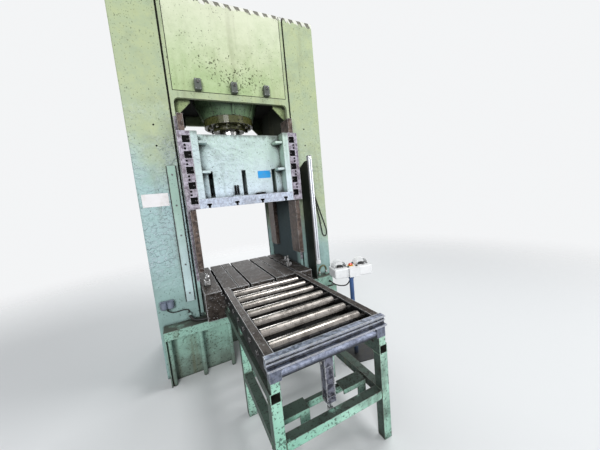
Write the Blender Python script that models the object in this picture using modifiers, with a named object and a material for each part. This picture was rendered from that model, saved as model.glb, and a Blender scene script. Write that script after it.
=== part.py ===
"""Hydraulic press of closed plate construction, with a roller table docked at its front.

Units are metres and +Z is up. The origin lies on the floor, in the middle of the
whole machine. X runs across the press, and -Y points to the operator.
"""

import math

import bmesh
import bpy
from mathutils import Matrix, Vector

# Press frame
FRAME_WIDTH = 2.06
HEAD_HEIGHT = 0.96
FRAME_DEPTH = 1.00
COLUMN_WIDTH = 0.43
WINDOW_TOP = 2.80
WINDOW_RADIUS = 0.045
REAR_WINDOW_INSET = 0.06
FRAME_PLATE = 0.040
BORDER = 0.030
GROOVE = 0.018
SEAM = 0.006
HEADER_HEIGHT = 0.065
CROWN_ABOVE_WINDOW = 0.12
CORNER_ROUND = 0.012
GUSSET_LEG = 0.15
GUSSET_PLATE = 0.020
FACE_HOLE = 0.018
FACE_HOLE_DEPTH = 0.05
FACE_HOLE_INSET = 0.225
FACE_HOLE_HEIGHTS = (2.34, 2.535)

# Bed and bolster
BED_TOP = 0.60
BED_CHEEK = 0.21
BED_POCKET_DEPTH = 0.30
BOLSTER_SIDE_SPACE = 0.010
BOLSTER_HEIGHT = 0.283
BOLSTER_OVERHANG = 0.285
BOLSTER_DEPTH = 1.09
SLOT_EDGE = 0.1745
SLOT_COUNT = 4
SLOT_NECK = 0.024
SLOT_NECK_DEPTH = 0.026
SLOT_TEE = 0.046
SLOT_TEE_HEIGHT = 0.020
JOINT_GROOVE = 0.010
JOINT_GROOVE_X = 0.26
BOLSTER_EDGE = 0.004

# Steps at the foot of each upright
STEP_TOP = 0.565
STEP_DEPTH = 0.17
STEP_PLATE = 0.008
STEP_APRON = 0.085
STEP_PAST_WINDOW = 0.238
STEP_OUTER_INSET = 0.04
STEP_PANEL_INSET = 0.08
STEP_PANEL_DEPTH = 0.06
STEP_PIPE_RADIUS = 0.021
STEP_PIPE_INSET = 0.034
STEP_PIPE_END = 0.035
STEP_RIB = 0.010

# Cylinder
BORE_RADIUS = 0.20
BARREL_WALL = 0.05
BARREL_BELOW_TOP = 0.06
BARREL_CAP = 0.06
HOUSING_TOP_RADIUS = 0.37
HOUSING_BOTTOM_RADIUS = 0.29
HOUSING_RIBS = 8
RIB_THICKNESS = 0.024
RIB_STAND = 0.014
GLAND_RADIUS = 0.285
HOUSING_HEIGHT = 0.21
GLAND_FLANGE = 0.08
GLAND_NECK = 0.05
GLAND_NECK_RADIUS = 0.19
GLAND_BOLTS = 12
GLAND_BOLT_RADIUS = 0.018
GLAND_BOLT_HEIGHT = 0.024
ROD_RADIUS = 0.12
ROD_FLANGE_RADIUS = 0.20
ROD_FLANGE_HEIGHT = 0.04
PISTON_HEIGHT = 0.09
AXIS_OFFSET = 0.43

# Slide
SLIDE_BOTTOM = 1.70
SLIDE_HEIGHT = 0.75
SLIDE_DROP = 0.58
SLIDE_STAND = 0.15
SLIDE_BACK_SPACE = 0.05
SLIDE_SIDE_SPACE = 0.036
PLATEN_HEIGHT = 0.095
CHEEK_THICKNESS = 0.064
FRONT_PLATE_SETBACK = 0.14
SLIDE_WALL = 0.030
SLIDE_SLOT_WIDTH = 0.046
SLIDE_SLOT_HEIGHT = 0.28
SLIDE_SLOT_EDGE = 0.095
STIFFENER_HEIGHT = 0.024
STIFFENER_LENGTH = 0.085
STIFFENER_LEVELS = (0.348, 0.638)
ROD_TUBE_RADIUS = 0.19
WEB_HOLE_SHARE = 0.35
PIN_RADIUS = 0.008
PIN_HEIGHT = 0.12
PIN_X = (-0.113, -0.083)
PIN_BLOCK_END = 0.034
PIN_BLOCK_DEPTH = 0.022
PIN_BLOCK_HEIGHT = 0.014

# Guides
RAIL_WIDTH = 0.055
RAIL_STAND = 0.11
RAIL_SEAT = 0.09
KEEPER_DEPTH = 0.055
RAIL_BOTTOM = 1.06
RAIL_BELOW_WINDOW = 0.18
RAIL_STOP_RADIUS = 0.024
RAIL_STOP_THICKNESS = 0.012
GUIDE_OVERLAP = 0.022
GUIDE_CLEARANCE = 0.0006
GUIDE_WINDOW = 0.068
GUIDE_WINDOW_PITCH = 0.147
GUIDE_WINDOWS = 5
GUIDE_WINDOW_FIRST = 0.085
GUIDE_WINDOW_INSET = 0.072
GUIDE_BOLT_RADIUS = 0.008
GUIDE_BOLT_SPREAD = 0.034
GUIDE_BOLT_INSET = 0.054
STRIP_WIDTH = 0.024
STRIP_THICKNESS = 0.010
STRIP_BOTTOM = 0.95

# Fittings on the frame
SWITCH_PITCH = 0.36
SWITCH_WIDTH = 0.064
SWITCH_HEIGHT = 0.108
SWITCH_DEPTH = 0.050
SWITCH_ABOVE_SEAM = 0.002
SWITCH_EDGE = 0.006
SWITCH_CAP_RADIUS = 0.014
SWITCH_CAP_DEPTH = 0.008
SWITCH_CAP_SHARE = 0.68
GUARD_FROM_WINDOW = 0.11
GUARD_WIDTH = 0.076
GUARD_THICKNESS = 0.012
GUARD_BOTTOM = 0.76
GUARD_TOP = 2.15
WING_FROM_WINDOW = 0.10
WING_DEPTH = 0.20
WING_THICKNESS = 0.008
WING_FLANGE = 0.05
WING_BOTTOM = 0.71
WING_TOP = 2.13
WING_SLOPE = 0.075
CURTAIN_WIDTH = 0.042
CURTAIN_DEPTH = 0.052
CURTAIN_BOTTOM = 0.95
CURTAIN_TOP = 2.18
CURTAIN_GROOVE = 0.014
PLUG_RADIUS = 0.029
PLUG_LENGTH = 0.055
SOCKET_RADIUS = 0.030
SOCKET_HEIGHT = 0.070
SOCKET_INSET = 0.10
SOCKET_Z = 0.745
SOCKET_PLATE = 0.010
CABLE_RADIUS = 0.006
SOCKET_CABLE_RADIUS = 0.0048
CABLE_STAND = 0.08
CLIP_BOTTOM = 1.86
DRAIN_RADIUS = 0.011
VALVE_WIDTH = 0.28
VALVE_HEIGHT = 0.135
VALVE_DEPTH = 0.13
VALVE_INSET = 0.21
VALVE_BACK_SPACE = 0.012
VALVE_HOSE_RADIUS = 0.012
PORT_RADIUS = 0.018
PORT_HEIGHT = 0.030

# Die clamps
CLAMP_BASE_WIDTH = 0.060
CLAMP_BASE_DEPTH = 0.085
CLAMP_BASE_HEIGHT = 0.050
CLAMP_STUD_RADIUS = 0.011
CLAMP_STUD_HEIGHT = 0.125
CLAMP_ARM_WIDTH = 0.032
CLAMP_ARM_HEIGHT = 0.020
CLAMP_ARM_LENGTH = 0.125
CLAMP_NUT_RADIUS = 0.020
CLAMP_NUT_HEIGHT = 0.018

# Roller table
TABLE_PROJECTION = 1.62
TABLE_HALF = 0.41
SIDE_RAIL_TOP = 0.90
SIDE_RAIL_HEIGHT = 0.135
SIDE_RAIL_FLANGE = 0.055
SIDE_RAIL_WALL = 0.008
ROLLER_COUNT = 7
ROLLER_PITCH = 0.168
ROLLER_FIRST = 0.405
ROLLER_RADIUS = 0.045
ROLLER_TOP = 0.885
ROLLER_SIDE_SPACE = 0.012
ROLLER_CHAMFER = 0.004
AXLE_RADIUS = 0.012
AXLE_CLEARANCE = 0.0006
AXLE_HEAD_RADIUS = 0.019
AXLE_HEAD = 0.012
BAR_DEPTH = 0.062
BAR_BACK = 0.015
BAR_BOTTOM = 0.838
BAR_LIP = 0.010
BAR_RECESS = 0.012
TUBE_RADIUS = 0.036
TUBE_CENTRE_Z = 0.792
STAND_TUBE = 0.064
STAND_OUTSTAND = 0.010
STAND_BEAM_TOP = 0.705
STAND_WALL = 0.005
STAND_REAR_LEG = 0.70
STRETCHER_TOP = 0.380
STRETCHER_HEIGHT = 0.060
POST_HEIGHT = 0.058
MEMBER_SETBACK = 0.185
MEMBER_BELOW = 0.010
SHELF_X = 0.23
SHELF_WIDTH = 0.19
SHELF_DEPTH = 0.10
SHELF_PLATE = 0.008
SHELF_LIP = 0.034
SHELF_TAB_WIDTH = 0.070
SHELF_TAB_HEIGHT = 0.095
AIR_WIDTH = 0.066
AIR_HEAD = 0.045
AIR_BOTTOM = 0.405
AIR_TOP = 0.700
AIR_ROD_RADIUS = 0.012
AIR_ROD_REACH = 0.060
AIR_FORK_HEIGHT = 0.040
AIR_FORK_WIDTH = 0.030
AIR_STROKE = 0.10
AIR_BODY_INSET = 0.006
TIE_ROD_RADIUS = 0.0045
HANGER_PLATE = 0.012

# Two-hand control stand
CONSOLE_FROM_TABLE = 0.395
CONSOLE_FROM_FACE = 0.742
CONSOLE_TOP = 0.98
CONSOLE_WIDTH = 0.405
CONSOLE_DEPTH = 0.20
CONSOLE_HEIGHT = 0.095
CONSOLE_TURN = math.radians(-12.0)
CONSOLE_NOSE = 0.02
CONSOLE_NOSE_WIDTH = 0.11
HOOD_RADIUS = 0.070
HOOD_WALL = 0.004
HOOD_DEPTH = 0.085
HOOD_SETBACK = 0.022
HOOD_SINK = 0.002
PALM_X = 0.120
PALM_RADIUS = 0.030
PALM_HEIGHT = 0.016
PALM_STEM_RADIUS = 0.012
PALM_TRAVEL = 0.006
STEM_DEPTH = 0.018
STEM_HOLE_DEPTH = 0.030
STOP_RADIUS = 0.021
STOP_HEIGHT = 0.018
STOP_TRAVEL = 0.005
POST_RADIUS = 0.022
POST_FOOT_WIDTH = 0.36
POST_FOOT_DEPTH = 0.288
POST_FOOT_HEIGHT = 0.012
POST_COLLAR_RADIUS = 0.028
POST_COLLAR_Z = 0.86
CONSOLE_CABLE_RADIUS = 0.007

# Clearance between touching pieces, and how far a cutter runs past the faces it opens
GAP = 0.0003
CUT_PAST = 0.05

# Distance between the points along a hose, in its diameters
HOSE_STEP = 2.4
HOSE_STEP_SHORT = 1.6

# Places that follow from the sizes above
FACE_Y = (TABLE_PROJECTION - FRAME_DEPTH) / 2
REAR_Y = FACE_Y + FRAME_DEPTH
HALF_WIDTH = FRAME_WIDTH / 2
HALF_WINDOW = HALF_WIDTH - COLUMN_WIDTH
COVER_BOTTOM = WINDOW_TOP + HEADER_HEIGHT
CROWN_BOTTOM = WINDOW_TOP + CROWN_ABOVE_WINDOW
BOLSTER_HALF = HALF_WINDOW - BOLSTER_SIDE_SPACE
SLOT_PITCH = 2 * (BOLSTER_HALF - SLOT_EDGE) / (SLOT_COUNT - 1)
RAIL_INNER = HALF_WINDOW - RAIL_WIDTH
RAIL_TOP = WINDOW_TOP - RAIL_BELOW_WINDOW
SLIDE_HALF = RAIL_INNER - SLIDE_SIDE_SPACE
CHEEK_INNER = SLIDE_HALF - CHEEK_THICKNESS
WEB_HOLE_RADIUS = (CHEEK_INNER - ROD_TUBE_RADIUS) * WEB_HOLE_SHARE
WEB_HOLE_X = (CHEEK_INNER + ROD_TUBE_RADIUS) / 2
GUIDE_OUTER = HALF_WINDOW + GUIDE_OVERLAP
GUARD_X = HALF_WINDOW + GUARD_FROM_WINDOW
WING_X = HALF_WINDOW + WING_FROM_WINDOW
GLAND_TOP = CROWN_BOTTOM - HOUSING_HEIGHT
GLAND_FLANGE_BOTTOM = GLAND_TOP - GLAND_FLANGE
GLAND_BOTTOM = GLAND_FLANGE_BOTTOM - GLAND_NECK
CONSOLE_X = TABLE_HALF + CONSOLE_FROM_TABLE
STEP_INNER_X = HALF_WINDOW - STEP_PAST_WINDOW
SOCKET_X = HALF_WIDTH - SOCKET_INSET
VALVE_X = HALF_WIDTH - VALVE_INSET
FRAME_HEIGHT = WINDOW_TOP + HEAD_HEIGHT
BARREL_TOP = FRAME_HEIGHT - BARREL_BELOW_TOP
STEP_OUTER_X = HALF_WIDTH - STEP_OUTER_INSET
STEP_PANEL_X = HALF_WIDTH - STEP_PANEL_INSET
STEP_PIPE_OUTER = STEP_OUTER_X - STEP_PIPE_END
STEP_PIPE_INNER = STEP_INNER_X + STEP_PIPE_RADIUS
STEP_PIPE_X = (STEP_PIPE_OUTER, (STEP_PIPE_OUTER + STEP_PIPE_INNER) / 2, STEP_PIPE_INNER)
COLUMN_INNER = HALF_WINDOW + BORDER + GROOVE
AXIS_Y = FACE_Y + AXIS_OFFSET
BOLSTER_TOP = BED_TOP + BOLSTER_HEIGHT
BOLSTER_FRONT = FACE_Y - BOLSTER_OVERHANG
SLIDE_TOP = SLIDE_BOTTOM + SLIDE_HEIGHT
SLIDE_FRONT = FACE_Y - SLIDE_STAND
RAIL_FRONT = FACE_Y - RAIL_STAND
SLIDE_REAR = REAR_Y - FRAME_PLATE - SLIDE_BACK_SPACE
RAIL_REAR_BACK = SLIDE_REAR - KEEPER_DEPTH
PLATEN_TOP = SLIDE_BOTTOM + PLATEN_HEIGHT
TABLE_FRONT = FACE_Y - TABLE_PROJECTION
ROLLER_Z = ROLLER_TOP - ROLLER_RADIUS
STEP_FRONT = FACE_Y - STEP_DEPTH
CONSOLE_Y = FACE_Y - CONSOLE_FROM_FACE
ROLLER_HALF = TABLE_HALF - SIDE_RAIL_FLANGE - ROLLER_SIDE_SPACE
STAND_LEG_X = TABLE_HALF + STAND_OUTSTAND - STAND_TUBE / 2

# Clips on the uprights' faces: middle X, top Z, width, height, stand from the face
CABLE_CLIPS = {
    1: (WING_X + WING_FLANGE + CABLE_STAND - 0.003, CLIP_BOTTOM + 0.030, 0.040, 0.030, 0.052),
    -1: (-SOCKET_X + 0.190, SOCKET_Z - 0.100, 0.032, 0.022, 0.034),
}

COLOURS = {
    "pale_green": ((0.50, 0.60, 0.36), 0.50, 0.0),
    "mint_green": ((0.36, 0.55, 0.42), 0.55, 0.0),
    "slide_green": ((0.62, 0.72, 0.62), 0.50, 0.0),
    "bare_steel": ((0.42, 0.40, 0.43), 0.42, 0.85),
    "oily_steel": ((0.16, 0.13, 0.11), 0.38, 0.75),
    "greasy_brown": ((0.20, 0.13, 0.10), 0.45, 0.45),
    "roller_steel": ((0.45, 0.42, 0.39), 0.28, 0.95),
    "olive": ((0.12, 0.13, 0.05), 0.45, 0.15),
    "dark_paint": ((0.05, 0.06, 0.05), 0.55, 0.0),
    "grey_box": ((0.20, 0.21, 0.20), 0.50, 0.1),
    "aluminium": ((0.72, 0.74, 0.78), 0.35, 0.9),
    "black_rubber": ((0.02, 0.02, 0.02), 0.65, 0.0),
    "white_paint": ((0.80, 0.80, 0.78), 0.45, 0.0),
    "blue_paint": ((0.13, 0.20, 0.42), 0.45, 0.0),
    "red_plastic": ((0.70, 0.08, 0.03), 0.40, 0.0),
    "black_plastic": ((0.03, 0.03, 0.03), 0.40, 0.0),
}


def clear_scene():
    """Removes whatever objects the scene starts with."""
    for item in list(bpy.data.objects):
        bpy.data.objects.remove(item)


def new_collection(name):
    """A collection linked to the scene."""
    group = bpy.data.collections.new(name)
    bpy.context.scene.collection.children.link(group)
    return group


def finish_of(name):
    """The material with this name, made at its first use."""
    if name in bpy.data.materials:
        return bpy.data.materials[name]
    colour, roughness, metallic = COLOURS[name]
    finish = bpy.data.materials.new(name)
    finish.use_nodes = True
    shader = finish.node_tree.nodes["Principled BSDF"]
    shader.inputs["Base Color"].default_value = (*colour, 1.0)
    shader.inputs["Roughness"].default_value = roughness
    shader.inputs["Metallic"].default_value = metallic
    finish.diffuse_color = (*colour, 1.0)
    return finish


def place(name, mesh, location=(0, 0, 0), finish=None):
    """An object in the press collection, or in the cutters collection when it has no finish."""
    item = bpy.data.objects.new(name, mesh)
    item.location = location
    if finish is None:
        cutters.objects.link(item)
        item.hide_render = True
        item.display_type = "WIRE"
    else:
        press.objects.link(item)
        mesh.materials.append(finish_of(finish))
    return item


def solid_mesh(name, bm):
    """A mesh datablock from a bmesh, which is freed."""
    mesh = bpy.data.meshes.new(name)
    bmesh.ops.recalc_face_normals(bm, faces=bm.faces)
    bm.to_mesh(mesh)
    bm.free()
    return mesh


def blocks(name, boxes, finish=None):
    """One object of upright boxes, each given by its lowest and highest corner."""
    centre = Vector(boxes[0][0]).lerp(Vector(boxes[0][1]), 0.5)
    bm = bmesh.new()
    for low, high in boxes:
        size = Vector(high) - Vector(low)
        middle = Vector(low).lerp(Vector(high), 0.5) - centre
        matrix = Matrix.Translation(middle) @ Matrix.Diagonal((*size, 1.0))
        bmesh.ops.create_cube(bm, size=1.0, matrix=matrix)
    return place(name, solid_mesh(name, bm), centre, finish)


def block(name, low, high, finish=None):
    """A single upright box."""
    return blocks(name, [(low, high)], finish)


AXIS_TURNS = {
    "X": Matrix.Rotation(math.radians(90), 4, "Y"),
    "Y": Matrix.Rotation(math.radians(90), 4, "X"),
    "Z": Matrix.Identity(4),
}


def rods(name, centres, radius, length, axis="Z", sides=16, finish=None):
    """One object of equal round bars, each centred on a point and running along an axis."""
    origin = Vector(centres[0])
    bm = bmesh.new()
    for centre in centres:
        matrix = Matrix.Translation(Vector(centre) - origin) @ AXIS_TURNS[axis]
        bmesh.ops.create_cone(
            bm, cap_ends=True, segments=sides, radius1=radius, radius2=radius, depth=length, matrix=matrix
        )
    item = place(name, solid_mesh(name, bm), origin, finish)
    smooth(item)
    return item


def smooth(item, angle=35.0):
    """Shades the round faces smooth and leaves the sharp edges."""
    item.data.shade_smooth()
    item.data.set_sharp_from_angle(angle=math.radians(angle))


def turned(name, profile, location, finish=None, steps=32, axis="Z"):
    """A turned piece from its (radius, height) profile, which runs down the outer side."""
    mesh = bpy.data.meshes.new(name)
    points = [(radius, 0.0, height) for radius, height in profile]
    edges = [(i, i + 1) for i in range(len(points) - 1)]
    if profile[0][0] > 0:
        edges.append((len(points) - 1, 0))
    mesh.from_pydata(points, edges, [])
    item = place(name, mesh, location, finish)
    item.rotation_euler = AXIS_TURNS[axis].to_euler()
    screw = item.modifiers.new("Turn", "SCREW")
    screw.steps = steps
    screw.render_steps = steps
    screw.use_merge_vertices = True
    screw.merge_threshold = 0.0001
    screw.use_smooth_shade = True
    weld = item.modifiers.new("Close axis", "WELD")
    weld.merge_threshold = 0.00005
    return item


def rounded_loop(corners, steps=4):
    """Points of a closed outline whose corners (x, y, radius) are rounded by arcs."""
    points = []
    count = len(corners)
    for i, (x, y, radius) in enumerate(corners):
        corner = Vector((x, y))
        if radius <= 0:
            points.append(corner)
            continue
        before = (Vector(corners[i - 1][:2]) - corner).normalized()
        after = (Vector(corners[(i + 1) % count][:2]) - corner).normalized()
        half = before.angle(after) / 2
        middle = corner + (before + after).normalized() * (radius / math.sin(half))
        start = corner + before * (radius / math.tan(half)) - middle
        turn = start.angle_signed(corner + after * (radius / math.tan(half)) - middle)
        for step in range(steps + 1):
            spoke = start.copy()
            spoke.rotate(Matrix.Rotation(-turn * step / steps, 2))
            points.append(middle + spoke)
    return points


def extruded(name, loops, thickness, location, plane="XY", finish=None):
    """A flat outline with its holes, given thickness to both sides of its plane."""
    curve = bpy.data.curves.new(name, "CURVE")
    curve.dimensions = "2D"
    curve.fill_mode = "BOTH"
    curve.extrude = thickness / 2
    for loop in loops:
        spline = curve.splines.new("POLY")
        spline.points.add(len(loop) - 1)
        spline.use_cyclic_u = True
        for point, (x, y) in zip(spline.points, loop):
            point.co = (x, y, 0.0, 1.0)
    sketch = bpy.data.objects.new(name + "_outline", curve)
    sketch.location = location
    sketch.rotation_euler = {
        "XY": (0.0, 0.0, 0.0),
        "XZ": (math.radians(90), 0.0, 0.0),
        "YZ": (math.radians(90), 0.0, math.radians(90)),
    }[plane]
    return made_mesh(name, sketch, finish)


def made_mesh(name, sketch, finish=None):
    """The closed mesh object of a curve object, which is removed."""
    press.objects.link(sketch)
    bpy.context.view_layer.update()
    graph = bpy.context.evaluated_depsgraph_get()
    mesh = bpy.data.meshes.new_from_object(sketch.evaluated_get(graph))
    mesh.materials.clear()
    bm = bmesh.new()
    bm.from_mesh(mesh)
    bmesh.ops.remove_doubles(bm, verts=bm.verts, dist=0.00002)
    bmesh.ops.recalc_face_normals(bm, faces=bm.faces)
    bm.to_mesh(mesh)
    bm.free()
    matrix = sketch.matrix_world.copy()
    outline = sketch.data
    bpy.data.objects.remove(sketch)
    bpy.data.curves.remove(outline)
    item = place(name, mesh, (0, 0, 0), finish)
    item.matrix_world = matrix
    smooth(item)
    return item


def smooth_route(route, spacing):
    """Points at even steps along a smooth curve through the route, its two end spans straight."""
    nodes = [Vector(point) for point in route]
    nodes = [nodes[0] * 2 - nodes[1]] + nodes + [nodes[-1] * 2 - nodes[-2]]
    fine = []
    for a, b, c, d in zip(nodes, nodes[1:], nodes[2:], nodes[3:]):
        for step in range(20):
            t = step / 20
            bend = (2 * a - 5 * b + 4 * c - d) * t ** 2
            twist = (3 * b - a - 3 * c + d) * t ** 3
            fine.append(b + ((c - a) * t + bend + twist) / 2)
    fine.append(nodes[-2])
    lengths = [0.0]
    for a, b in zip(fine, fine[1:]):
        lengths.append(lengths[-1] + (b - a).length)
    count = max(8, round(lengths[-1] / spacing))
    points = []
    place_at = 0
    for i in range(count + 1):
        target = lengths[-1] * i / count
        while place_at < len(lengths) - 2 and lengths[place_at + 1] < target:
            place_at += 1
        span = lengths[place_at + 1] - lengths[place_at]
        points.append(fine[place_at].lerp(fine[place_at + 1], (target - lengths[place_at]) / span))
    for end, inward, route_end, route_next in ((0, 1, 1, 2), (-1, -2, -2, -3)):
        lead = (nodes[route_next] - nodes[route_end]).normalized()
        points[inward] = points[end] + lead * (points[inward] - points[end]).length
    return points


def hose(name, route, radius, finish, step_in_diameters=HOSE_STEP):
    """A round cable or hose along a smooth route."""
    curve = bpy.data.curves.new(name, "CURVE")
    curve.dimensions = "3D"
    curve.bevel_depth = radius
    curve.bevel_resolution = 2
    curve.use_fill_caps = True
    points = smooth_route(route, 2 * radius * step_in_diameters)
    spline = curve.splines.new("POLY")
    spline.points.add(len(points) - 1)
    for point, position in zip(spline.points, points):
        point.co = (*position, 1.0)
    return made_mesh(name, bpy.data.objects.new(name + "_route", curve), finish)


def cut(target, *tools):
    """Takes the tools' volumes out of the target."""
    for tool in tools:
        step = target.modifiers.new("Cut " + tool.name, "BOOLEAN")
        step.operation = "DIFFERENCE"
        step.object = tool
        step.solver = "EXACT"


def join(target, *pieces):
    """Welds pieces on to the target, as one body."""
    for piece in pieces:
        step = target.modifiers.new("Join " + piece.name, "BOOLEAN")
        step.operation = "UNION"
        step.object = piece
        step.solver = "EXACT"


def mirrored(points, side):
    """An outline on the right side of the press, or the same outline on its left side."""
    if side > 0:
        return points
    return [(-x, y) for x, y in reversed(points)]


def side_name(side):
    return "right" if side > 0 else "left"


def span(a, b, side):
    """Two X values in rising order, mirrored for the left side."""
    return (a, b) if side > 0 else (-b, -a)


# Frame


def make_upright(side):
    """A column of four plates, rebated for the front and rear frame plates."""
    corners = [
        (COLUMN_INNER, FACE_Y, 0),
        (HALF_WIDTH, FACE_Y, CORNER_ROUND),
        (HALF_WIDTH, REAR_Y, CORNER_ROUND),
        (COLUMN_INNER, REAR_Y, 0),
        (COLUMN_INNER, REAR_Y - FRAME_PLATE - GAP, 0),
        (HALF_WINDOW, REAR_Y - FRAME_PLATE - GAP, 0),
        (HALF_WINDOW, FACE_Y + FRAME_PLATE + GAP, 0),
        (COLUMN_INNER, FACE_Y + FRAME_PLATE + GAP, 0),
    ]
    loop = mirrored(rounded_loop(corners), side)
    column = extruded(
        side_name(side) + "_upright", [loop], FRAME_HEIGHT, (0, 0, FRAME_HEIGHT / 2), "XY", "pale_green"
    )
    holes = [(side * (HALF_WIDTH - FACE_HOLE_INSET), FACE_Y, height) for height in FACE_HOLE_HEIGHTS]
    cut(column, rods(side_name(side) + "_face_holes", holes, FACE_HOLE / 2, 2 * FACE_HOLE_DEPTH, "Y", 12))
    x, z, width, height, stand = CABLE_CLIPS[side]
    clip = block(
        side_name(side) + "_cable_clip",
        (x - width / 2, FACE_Y - stand, z - height),
        (x + width / 2, FACE_Y + CORNER_ROUND, z),
    )
    join(column, clip)
    return column


def make_front_frame_plate():
    """The plate round the daylight, with the recess for the cover above it."""
    outer = HALF_WINDOW + BORDER
    inner = HALF_WINDOW
    r = WINDOW_RADIUS
    corners = [
        (-outer, BED_TOP + GAP, 0),
        (-inner, BED_TOP + GAP, 0),
        (-inner, WINDOW_TOP, r),
        (inner, WINDOW_TOP, r),
        (inner, BED_TOP + GAP, 0),
        (outer, BED_TOP + GAP, 0),
        (outer, FRAME_HEIGHT, 0),
        (inner, FRAME_HEIGHT, 0),
        (inner, COVER_BOTTOM, 0),
        (-inner, COVER_BOTTOM, 0),
        (-inner, FRAME_HEIGHT, 0),
        (-outer, FRAME_HEIGHT, 0),
    ]
    return extruded(
        "front_frame_plate",
        [rounded_loop(corners)],
        FRAME_PLATE,
        (0, FACE_Y + FRAME_PLATE / 2, 0),
        "XZ",
        "pale_green",
    )


def make_crown_cover():
    """The wide cover plate that closes the crown at the front."""
    half = HALF_WINDOW - SEAM
    return block(
        "crown_cover",
        (-half, FACE_Y, COVER_BOTTOM + SEAM),
        (half, FACE_Y + FRAME_PLATE, FRAME_HEIGHT),
        "pale_green",
    )


def make_rear_frame_plate():
    """The plate that ties both uprights at the back, open round the daylight."""
    outer = HALF_WINDOW + BORDER
    inner = HALF_WINDOW - REAR_WINDOW_INSET
    corners = [
        (-outer, BED_TOP + GAP, 0),
        (-inner, BED_TOP + GAP, 0),
        (-inner, WINDOW_TOP, WINDOW_RADIUS),
        (inner, WINDOW_TOP, WINDOW_RADIUS),
        (inner, BED_TOP + GAP, 0),
        (outer, BED_TOP + GAP, 0),
        (outer, FRAME_HEIGHT, 0),
        (-outer, FRAME_HEIGHT, 0),
    ]
    return extruded(
        "rear_frame_plate",
        [rounded_loop(corners)],
        FRAME_PLATE,
        (0, REAR_Y - FRAME_PLATE / 2, 0),
        "XZ",
        "mint_green",
    )


def make_crown():
    """The head between the uprights, bored for the cylinder, with gussets in its corners."""
    half = HALF_WINDOW - GAP
    front = FACE_Y + FRAME_PLATE + GAP
    rear = REAR_Y - FRAME_PLATE - GAP
    crown = block("crown", (-half, front, CROWN_BOTTOM), (half, rear, FRAME_HEIGHT), "mint_green")
    front_gusset = front + 1.5 * GUSSET_PLATE
    rear_gusset = rear - 0.5 * GUSSET_PLATE
    for side in (-1, 1):
        for label, y in (("front", front_gusset), ("rear", rear_gusset)):
            skirt = WINDOW_TOP - WINDOW_RADIUS / 2
            loop = [
                (half, CROWN_BOTTOM + GUSSET_PLATE),
                (half - GUSSET_LEG, CROWN_BOTTOM + GUSSET_PLATE),
                (half - GUSSET_LEG, skirt),
                (half, skirt - GUSSET_LEG),
            ]
            gusset = extruded(
                f"gusset_{label}_{side_name(side)}", [mirrored(loop, side)], GUSSET_PLATE, (0, y, 0), "XZ"
            )
            join(crown, gusset)
    radius = BORE_RADIUS + BARREL_WALL + GAP
    depth = BARREL_TOP + GAP - CROWN_BOTTOM
    bore = rods("crown_bore", [(0, AXIS_Y, CROWN_BOTTOM)], radius, 2 * depth, "Z", 32)
    cut(crown, bore)
    return crown


def make_bed():
    """The lower crosshead, with the open pocket below the bolster."""
    half = HALF_WINDOW - GAP
    pocket = HALF_WINDOW - BED_CHEEK
    loop = [
        (-half, FACE_Y + GAP),
        (-pocket, FACE_Y + GAP),
        (-pocket, FACE_Y + BED_POCKET_DEPTH),
        (pocket, FACE_Y + BED_POCKET_DEPTH),
        (pocket, FACE_Y + GAP),
        (half, FACE_Y + GAP),
        (half, REAR_Y),
        (-half, REAR_Y),
    ]
    return extruded("bed", [loop], BED_TOP, (0, 0, BED_TOP / 2), "XY", "mint_green")


def slot_places():
    """X of each T-slot, in bolster and platen alike."""
    return [(i - (SLOT_COUNT - 1) / 2) * SLOT_PITCH for i in range(SLOT_COUNT)]


def slot_cutter(name, face, inward, y_low, y_high):
    """T-slots from a horizontal face, with inward -1 for down and +1 for up."""
    boxes = []
    lift = 0.01
    for x in slot_places():
        neck = sorted((face - inward * lift, face + inward * (SLOT_NECK_DEPTH + SLOT_TEE_HEIGHT / 2)))
        tee = sorted((face + inward * SLOT_NECK_DEPTH, face + inward * (SLOT_NECK_DEPTH + SLOT_TEE_HEIGHT)))
        boxes.append(((x - SLOT_NECK / 2, y_low, neck[0]), (x + SLOT_NECK / 2, y_high, neck[1])))
        boxes.append(((x - SLOT_TEE / 2, y_low, tee[0]), (x + SLOT_TEE / 2, y_high, tee[1])))
    necks = blocks(name + "_necks", boxes[0::2])
    tees = blocks(name + "_tees", boxes[1::2])
    return necks, tees


def make_bolster():
    """The clamping plate on the bed, with T-slots from front to back."""
    half = BOLSTER_HALF
    rear = BOLSTER_FRONT + BOLSTER_DEPTH
    bolster = block(
        "bolster", (-half, BOLSTER_FRONT, BED_TOP + GAP), (half, rear, BOLSTER_TOP), "oily_steel"
    )
    edge = bolster.modifiers.new("Edges", "BEVEL")
    edge.width = BOLSTER_EDGE
    edge.segments = 1
    start = BOLSTER_FRONT - CUT_PAST
    end = rear + CUT_PAST
    cut(bolster, *slot_cutter("bolster_slots", BOLSTER_TOP, -1, start, end))
    grooves = []
    for x in (-JOINT_GROOVE_X, JOINT_GROOVE_X):
        low = (x - JOINT_GROOVE / 2, start, BOLSTER_TOP - JOINT_GROOVE)
        high = (x + JOINT_GROOVE / 2, end, BOLSTER_TOP + JOINT_GROOVE)
        grooves.append((low, high))
    cut(bolster, blocks("bolster_grooves", grooves))
    return bolster


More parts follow.
